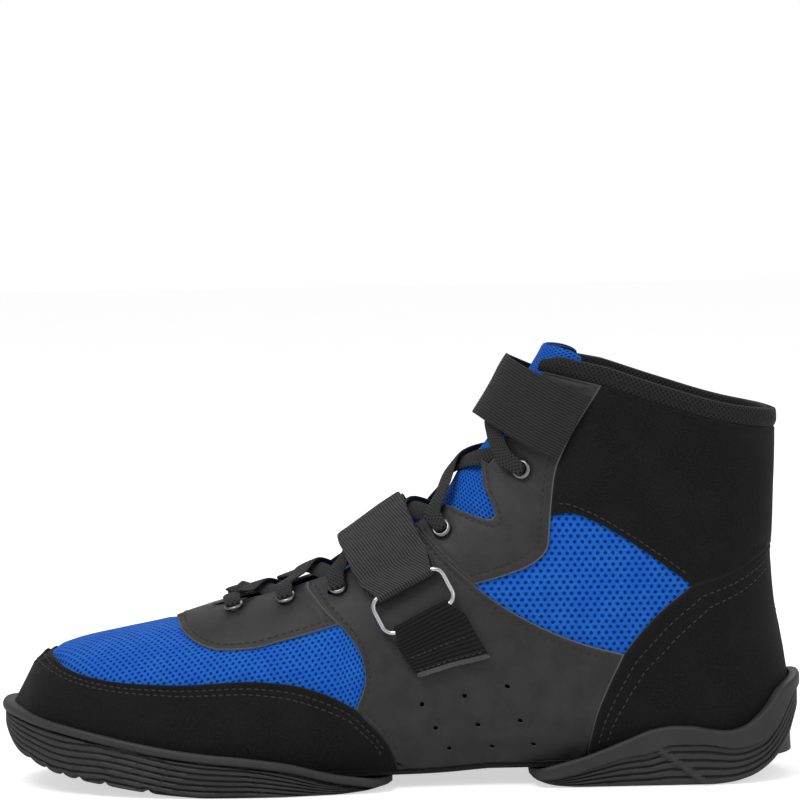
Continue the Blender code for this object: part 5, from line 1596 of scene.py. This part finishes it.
def plate(name, first, last, edge, top, bottom, node, finish, crown):
    """A board that follows the sole edge, `edge` mm inside it."""
    rows = []
    for n in range(61):
        turn = math.pi * n / 60
        place = first + (last - first) * (1 - math.cos(turn)) / 2
        point = surface(place, GIRTH)
        middle = swing_at(float(point[0]))
        half = max(abs(float(point[1]) - middle) - edge, 1.0)
        upper = []
        lower = []
        for c in np.linspace(-1, 1, 17):
            roll = crown * (1 - abs(c) ** 6) - crown
            upper.append((float(point[0]), middle + half * c, float(point[2]) + top + roll))
            lower.append((float(point[0]), middle + half * c, float(point[2]) + bottom - roll * 0.3))
        rows.append(upper + lower[::-1])
    return grid(name, rows, [finish], closed_columns=True, nodes=(node,))


# ---------------------------------------------------------------- lacing and straps


def joint_of(name):
    """A joint's place in mm and its axis."""
    found = next(j for j in frame["joints"] if j["name"] == name)
    axis = np.array(found["axis"], float)
    return np.array(found["pos_m"], float) / MM, axis / np.linalg.norm(axis)


BAR_FRONT, ALONG = joint_of("strap_tail_hinge")
BAR_REAR = joint_of("ring_hinge")[0]
RING_UP = (BAR_FRONT - BAR_REAR) - ALONG * np.dot(BAR_FRONT - BAR_REAR, ALONG)
RING_UP /= np.linalg.norm(RING_UP)
RING_OUT = np.cross(ALONG, RING_UP) * (1 if np.cross(ALONG, RING_UP)[1] < 0 else -1)


def across(fore, rear, count):
    """(S, T) points from one edge of a strap to the other."""
    share = np.linspace(0, 1, count + 1)[:, None]
    return np.array(fore) * (1 - share) + np.array(rear) * share


def row_at(pair, level, side=1.0, count=24):
    """Points across a strap at a level, and the way out of the surface at each."""
    spots = across(*pair, count)
    s, t = spots[:, 0], spots[:, 1] * side
    # A strap is stiff across its width, so it turns as one and doesn't follow small hollows.
    out = normals(s, t)
    out = out * 0.4 + out.mean(axis=0) * 0.6
    return place_points(s, t, np.full(len(s), float(level))), out / np.linalg.norm(out, axis=1)[:, None]


def smooth_rows(rows, outs, step=0.8):
    """Rows of points and their outward directions, made dense and smooth along the strap."""
    rows = np.asarray(rows, float)
    outs = np.asarray(outs, float)
    r, c = rows.shape[:2]
    middle = rows[:, c // 2]
    path = np.concatenate([middle, rows.reshape(r, -1), outs.reshape(r, -1)], axis=1)
    path = resampled(path, step)
    rows = path[:, 3:3 + c * 3].reshape(-1, c, 3)
    outs = path[:, 3 + c * 3:].reshape(-1, c, 3)
    return rows, outs / np.linalg.norm(outs, axis=-1)[..., None]


def strap_pair(at):
    """Edges of the instep strap: 0 is the ridge, 1 the front bar, 2 the rear bar, 3 the sewn end."""
    marks = (0.0, 0.25, 0.6, 1.0, 2.0, 3.0)
    ends = []
    for edge in (STRAP_FORE_EDGE, STRAP_REAR_EDGE):
        s, t = place_of(*np.array(edge).T)
        ends.append((float(np.interp(at, marks, [s[0], *s])), float(np.interp(at, marks, [0.0, *t]))))
    return ends


def strap_level(at):
    """Height of the strap over the upper: clear of the lacing, then down on the side."""
    return float(np.interp(at, [0.0, 0.6, 0.92], [5.0, 4.9, PLY]))


def wrap_rows(bar, toward, first, last, count, columns=24):
    """Rows of webbing turning about a bar, angles in degrees from `toward` to outward."""
    half = STRAP_WIDTH / 2 - 1.6
    rows = []
    outs = []
    for degrees in np.linspace(first, last, count):
        ray = toward * math.cos(math.radians(degrees)) + RING_OUT * math.sin(math.radians(degrees))
        rows.append([bar + ray * WRAP + ALONG * half * (2 * n / columns - 1) for n in range(columns + 1)])
        outs.append([ray] * (columns + 1))
    return rows, outs


def build_eyelets(finish):
    profile = [
        (EYELET_BORE, -1.2), (EYELET_BORE, 0.9), (2.02, 1.35), (2.4, 1.68), (2.8, 1.76), (3.2, 1.62),
        (3.5, 1.32), (EYELET_RIM, 1.1), (3.45, 0.98), (EYELET_BARREL, 0.95), (EYELET_BARREL, -1.1),
    ]
    for number, (place, around) in enumerate(eyelet_places(), start=1):
        for word, side in SIDES:
            s, t = np.array([place]), np.array([around * side])
            centre = place_points(s, t, np.zeros(1))[0]
            axis = normals(s, t)[0]
            flat = np.cross(axis, (0.3, 0.5, 0.8))
            flat /= np.linalg.norm(flat)
            beside = np.cross(axis, flat)
            rows = []
            for n in range(40):
                turn = 2 * math.pi * n / 40
                ray = flat * math.cos(turn) + beside * math.sin(turn)
                rows.append([centre + ray * r + axis * h for r, h in profile])
            grid("eyelet_metal_%s_%d" % (word, number), rows, [finish], closed_rows=True, closed_columns=True,
                 sharp=70, nodes=("eyelet_%s_%d" % (word, number),))


def build_ring(finish):
    """Rectangular loop of round wire."""
    centre = (BAR_FRONT + BAR_REAR) / 2
    rows = []
    half_long = RING_LONG / 2 + 0.3 - RING_BEND
    half_short = RING_SHORT / 2 - RING_BEND
    for corner, (sx, sy) in enumerate(((1, 1), (-1, 1), (-1, -1), (1, -1))):
        for n in range(13):
            turn = math.pi / 2 * (corner + n / 12)
            ray = ALONG * math.cos(turn) + RING_UP * math.sin(turn)
            point = centre + ALONG * half_long * sx + RING_UP * half_short * sy + ray * RING_BEND
            rows.append([point + (ray * math.cos(a) + RING_OUT * math.sin(a)) * RING_WIRE
                         for a in np.linspace(0, 2 * math.pi, 20, endpoint=False)])
    grid("buckle_ring", rows, [finish], closed_rows=True, closed_columns=True, sharp=180, body="ring",
         nodes=("strap_ring",))


def build_strap(webbing, keeper, binding, stitches, loops, hooks):
    rows = []
    outs = []
    for at in list(np.linspace(3.0, 0.0, 19)) + list(np.linspace(0.0, 1.12, 12)[1:]):
        side = -1.0 if len(rows) < 19 else 1.0
        row, out = row_at(strap_pair(at), strap_level(at), side)
        rows.append(row)
        outs.append(out)
    rows, outs = smooth_rows(rows, outs)
    tape("instep_strap_webbing", rows, outs, WEB, [webbing], twill_ribs, nodes=("instep_strap",))

    rows, outs = wrap_rows(BAR_FRONT, -RING_UP, -50.0, 90.0, 9)
    for at in (0.82, 0.72, 0.6, 0.48, 0.36, 0.24, 0.12):
        row, out = row_at(strap_pair(at), strap_level(at) + TAIL_RISE)
        rows.append(row)
        outs.append(out)
    rows, outs = smooth_rows(rows, outs)
    length = float(np.linalg.norm(np.diff(rows[:, 12], axis=0), axis=1).sum())

    def hemmed(u, v):
        """Diagonal ribs, and a folded hem sewn down over the last few millimetres."""
        hem = smooth((u - (length - 5.5)) / 0.7)
        seam = 0.3 * np.exp(-((u - (length - 4.2)) / 0.45) ** 2)
        return twill_ribs(u, v) * (1 - 0.6 * hem) + 0.32 * hem - seam

    tape("strap_tail_webbing", rows, outs, WEB, [webbing], hemmed, edge_round=0.5, body="strap_tail",
         nodes=("instep_strap_tail",))

    rows = []
    outs = []
    for at in np.linspace(3.0, 2.25, 5):
        row, out = row_at(strap_pair(at), PLY)
        rows.append(row)
        outs.append(-out)
    around, rays = wrap_rows(BAR_REAR, RING_UP, -90.0, 90.0, 11)
    rows += around
    outs += rays
    for number, at in enumerate(np.linspace(2.3, 3.0, 5)):
        row, out = row_at(strap_pair(at), PLY + WEB + 0.35 + (1.0 if number == 0 else 0.0))
        rows.append(row)
        outs.append(out)
    rows, outs = smooth_rows(rows, outs)
    tape("ring_keeper_webbing", rows, outs, WEB, [keeper], keeper_ribs, nodes=("ring_keeper",))
    keeper_stitching(stitches)
    rows = []
    outs = []
    for at in (2.97, 3.0, 3.03, 3.06):
        row, out = row_at(strap_pair(3.0), PLY + WEB + 0.35)
        rows.append(row + RING_UP * -(at - 3.0) * 22.0)
        outs.append(out)
    rows, outs = smooth_rows(rows, outs, 0.4)
    tape("keeper_end_binding", rows, outs, WEB + 0.25, [binding], edge_round=0.3)

    for name, rise, finish, body, node in (
            ("strap_loop_pile", LOOP_RISE, loops, "boot", "strap_loop_patch"),
            ("strap_hook_tape", HOOK_RISE, hooks, "strap_tail", "strap_hook_patch")):
        rows = []
        outs = []
        for at in np.linspace(0.6, 0.22, 9):
            fore, rear = strap_pair(at)
            spots = across(fore, rear, 100)
            row, out = row_at([tuple(spots[9]), tuple(spots[91])], strap_level(at) + rise)
            rows.append(row)
            outs.append(out)
        rows, outs = smooth_rows(rows, outs)
        tape(name, rows, outs, PATCH_THICK, [finish], lambda u, v: 0.05 * ripple(u * 9, v * 9), body=body,
             nodes=(node,))


def twill_ribs(u, v):
    """Fine ribs that run the length of the webbing, leaning a little."""
    return 0.045 * np.cos(2 * math.pi * (v + 0.16 * u) / TWILL_PITCH)


def keeper_ribs(u, v):
    return 0.06 * np.cos(2 * math.pi * u / GROSGRAIN_PITCH)


def keeper_stitching(finish):
    """Two rows of thread across the sewn end of the keeper."""
    rows = []
    for at in (2.60, 2.93):
        fore, rear = strap_pair(at)
        rows.append([tuple(p) for p in across(fore, rear, 20)[1:-1]])
    stitch("keeper_stitching", rows, PLY + WEB * 1.5 + 0.35, finish, pitch=2.2, length=1.5, radius=0.26)


def build_band(finish, stitches):
    """Elastic sewn in at both rear seams and drawn over the lacing."""
    rear_low = tuple(map(float, place_of(*BAND_REAR[0])))
    rear_high = tuple(map(float, place_of(*BAND_REAR[1])))
    rows = []
    outs = []
    for at in np.linspace(-1.0, 1.0, 33):
        size = abs(at)
        low = (BAND_RIDGE_LOW + (rear_low[0] - BAND_RIDGE_LOW) * size, rear_low[1] * size)
        high = (BAND_RIDGE_HIGH + (rear_high[0] - BAND_RIDGE_HIGH) * size, rear_high[1] * size)
        level = np.interp(size, [0.0, 0.8, 1.0], [BAND_HIGH, BAND_HIGH - 0.6, BAND_LOW])
        row, out = row_at([low, high], level, -1.0 if at < 0 else 1.0, count=110)
        rows.append(row)
        outs.append(out)
    rows, outs = smooth_rows(rows, outs, 1.2)
    tape("ankle_band_elastic", rows, outs, WEB, [finish],
         lambda u, v: 0.07 * np.cos(2 * math.pi * v / BAND_PITCH), nodes=("ankle_band",))
    line = []
    for share in np.linspace(0.03, 0.97, 12):
        place = rear_low[0] + (rear_high[0] - rear_low[0]) * share - 2.2
        around = rear_low[1] + (rear_high[1] - rear_low[1]) * share - 1.6
        line.append((place, around))
    stitch("band_stitching", both_sides(line), BAND_LOW + 0.75, stitches, pitch=2.2, length=1.6, radius=0.24)


def lace_path():
    """Runs of (S, T, level, width, thickness) for the whole lace, one end to the other."""
    spots = eyelet_places()

    def hole(side, number):
        place, around = spots[number]
        over = 1.5 if number < 4 else 0.3
        return [
            (place, (around - 2.6) * side, LACE_UNDER, 4.4, 1.3),
            (place, (around - 0.2) * side, LACE_UNDER + 0.35, 3.2, 1.5),
            (place, around * side, -1.4, 3.1, 1.9),
            (place, (around + 0.2) * side, 0.9, 3.3, 1.9),
            (place, (around + over) * side, 2.3, 4.2 + over, 1.5),
            (place, (around - 1.8) * side, 3.0, 5.6 + over * 0.4, 1.4),
            (place, (around - 5.5) * side, LACE_OVER + 1.0, 6.8, LACE_THICK),
        ]

    def crossing(side, number, over):
        here, there = spots[number], spots[number + 1]
        edge = 0.45
        # The wide gap of the throat lets the lace sink on to the tongue.
        sink = 1.2 if number > 3 else 0.0
        level = (LACE_OVER + 0.4 if over else 0.2) - sink * 1.7
        first = (LACE_OVER if over else 1.2) - sink
        points = []
        for at, height in ((edge, first), (0.0, level), (-edge, -1.3 if over else -1.8)):
            share = 0.5 - at * 0.62
            place = here[0] + (there[0] - here[0]) * share
            around = (here[1] if at > 0 else there[1]) * at * side
            points.append((place, around, height, LACE_WIDTH, LACE_THICK))
        place = here[0] + (there[0] - here[0]) * 0.93
        points.append((place, -there[1] * 0.72 * side, LACE_UNDER, 5.5, LACE_THICK))
        return points

    def climb(side):
        run = []
        for number in range(len(spots) - 1):
            run += hole(side, number) + crossing(side, number, side > 0)
            side = -side
        run += hole(side, len(spots) - 1)
        place, around = spots[-1]
        run.append((place + 6.0, around * 0.5 * side, 1.6, LACE_WIDTH, LACE_THICK))
        run.append((place + 10.0, around * 0.2 * side, 1.3, LACE_WIDTH - 1.0, LACE_THICK))
        return run

    place, around = spots[0]
    bar = [(place, around * share, LACE_UNDER + 0.4, LACE_WIDTH, LACE_THICK) for share in (0.5, 0.0, -0.5)]
    return climb(1.0)[::-1] + bar + climb(-1.0)


def build_lace(finish):
    """Flat woven lace, one continuous run."""
    path = np.array(lace_path(), float)
    s, t = path[:, 0], path[:, 1]
    uphill = surface(s + 1.0, t) - surface(s - 1.0, t)
    uphill /= np.linalg.norm(uphill, axis=1)[:, None]
    path = np.concatenate([place_points(s, t, path[:, 2]), uphill, path[:, 3:]], axis=1)
    path = resampled(path, 0.55)
    points = path[:, :3]
    ahead = np.gradient(points, axis=0)
    ahead /= np.linalg.norm(ahead, axis=1)[:, None]
    wide = path[:, 3:6] - ahead * (path[:, 3:6] * ahead).sum(1)[:, None]
    wide /= np.linalg.norm(wide, axis=1)[:, None]
    deep = np.cross(ahead, wide)
    run = np.concatenate([[0], np.cumsum(np.linalg.norm(np.diff(points, axis=0), axis=1))])
    rows = []
    weave = []
    for n, point in enumerate(points):
        ring = []
        tag = []
        for k in range(24):
            turn = 2 * math.pi * k / 24
            a = math.copysign(abs(math.cos(turn)) ** 0.8, math.cos(turn)) / 2
            b = math.copysign(abs(math.sin(turn)) ** 0.7, math.sin(turn)) / 2
            yarn = 1 + 0.09 * math.cos(2 * math.pi * (run[n] / 2.2 + a * 2.2)) * math.cos(
                2 * math.pi * (run[n] / 2.2 - a * 2.2))
            ring.append(point + wide[n] * path[n, 6] * a + deep[n] * path[n, 7] * b * yarn)
            tag.append((run[n], a * path[n, 6], 1.0))
        rows.append(ring)
        weave.append(tag)
    grid("lace_cord", rows, [finish], closed_columns=True, weave=weave, sharp=180, nodes=("lace",))


def build_fittings():
    sewn = thread()
    webbing = ribbed("strap_webbing", (0.014, 0.014, 0.0145), (0.070, 0.070, 0.071), 0.6,
                     TWILL_PITCH, 0.16, 0.15)
    keeper = ribbed("keeper_grosgrain", (0.003, 0.003, 0.0033), (0.017, 0.017, 0.0175),
                    GROSGRAIN_PITCH, 0.7, cross=0.8)
    elastic = ribbed("band_elastic", (0.014, 0.014, 0.014), (0.036, 0.0355, 0.035), 0.7,
                     BAND_PITCH, cross=0.25)
    build_eyelets(metal("eyelet_enamel", (0.30, 0.30, 0.31), 0.26))
    build_ring(metal("ring_steel", (0.86, 0.86, 0.86), 0.16))
    grey = cloth("binding_tape", (0.05, 0.05, 0.051), (0.14, 0.14, 0.141), 0.5)
    loops = cloth("loop_pile_fabric", (0.006, 0.006, 0.006), (0.03, 0.03, 0.03), 0.5)
    hooks = cloth("hook_tape_nylon", (0.01, 0.01, 0.01), (0.05, 0.05, 0.05), 0.9)
    build_strap(webbing, keeper, grey, sewn, loops, hooks)
    build_band(elastic, sewn)
    build_lace(braid("lace_weave", (0.008, 0.008, 0.0085), (0.042, 0.042, 0.043), 1.5))


# ---------------------------------------------------------------- stage


def studio_floor():
    """A pale seamless floor that carries only a soft shadow."""
    net = Net("studio_floor", 0.9)
    tone = net.noise(net.place(), 60.0)
    net.set("Base Color", net.mix(tone, (0.86, 0.86, 0.86), (0.90, 0.90, 0.90)))
    net.set("Emission Color", (1.0, 1.0, 1.0))
    glow = net.add("LightPath").outputs["Is Camera Ray"]
    net.set("Emission Strength", net.math("MULTIPLY", glow, FLOOR_GLOW))
    mesh = bpy.data.meshes.new("floor")
    size = 4.0
    corners = [(-size, -size, 0), (size, -size, 0), (size, size, 0), (-size, size, 0)]
    mesh.from_pydata(corners, [], [(0, 1, 2, 3)])
    mesh.materials.append(net.made)
    floor = bpy.data.objects.new("floor", mesh)
    bpy.context.scene.collection.objects.link(floor)


def area_light(name, where, size, energy, target=(-0.085, 0, 0.07)):
    lamp = bpy.data.lights.new(name, "AREA")
    lamp.shape = "DISK"
    lamp.size = size
    lamp.energy = energy
    made = bpy.data.objects.new(name, lamp)
    made.location = where
    made.rotation_euler = (Vector(target) - Vector(where)).to_track_quat("-Z", "Y").to_euler()
    bpy.context.scene.collection.objects.link(made)


def build_stage():
    studio_floor()
    world = bpy.data.worlds.new("studio")
    world.use_nodes = True
    tree = world.node_tree
    back = tree.nodes["Background"]
    back.inputs["Color"].default_value = (1.0, 1.0, 1.0, 1.0)
    # The backdrop is white to the camera and a softer light to the boot.
    seen = tree.nodes.new("ShaderNodeLightPath").outputs["Is Camera Ray"]
    level = tree.nodes.new("ShaderNodeMapRange")
    level.inputs["To Min"].default_value = WORLD_LIGHT
    level.inputs["To Max"].default_value = 1.0
    tree.links.new(seen, level.inputs["Value"])
    tree.links.new(level.outputs[0], back.inputs["Strength"])
    bpy.context.scene.world = world
    bpy.context.scene.view_settings.view_transform = "Standard"
    area_light("key", (-0.7, -0.9, 1.5), 0.9, 12.0)
    area_light("fill", (0.9, -1.1, 0.7), 1.2, 2.5)
    area_light("rim", (0.1, 1.2, 1.3), 1.0, 6.0)
    camera = bpy.data.cameras.new("camera")
    camera.sensor_width = 36.0
    camera.lens = 36.0 * CAMERA_DISTANCE / IMAGE_WIDTH
    made = bpy.data.objects.new("camera", camera)
    lift_angle = math.radians(CAMERA_ELEVATION)
    target = Vector(CAMERA_TARGET)
    away = Vector((0, -math.cos(lift_angle), math.sin(lift_angle)))
    made.location = target + away * CAMERA_DISTANCE
    turn = (-away).to_track_quat("-Z", "Y").to_matrix().to_4x4()
    roll = Matrix.Rotation(math.radians(CAMERA_ROLL), 4, "Z")
    made.rotation_euler = (turn @ roll).to_euler()
    bpy.context.scene.collection.objects.link(made)
    bpy.context.scene.camera = made


build_upper()
build_soles()
build_fittings()
build_stage()
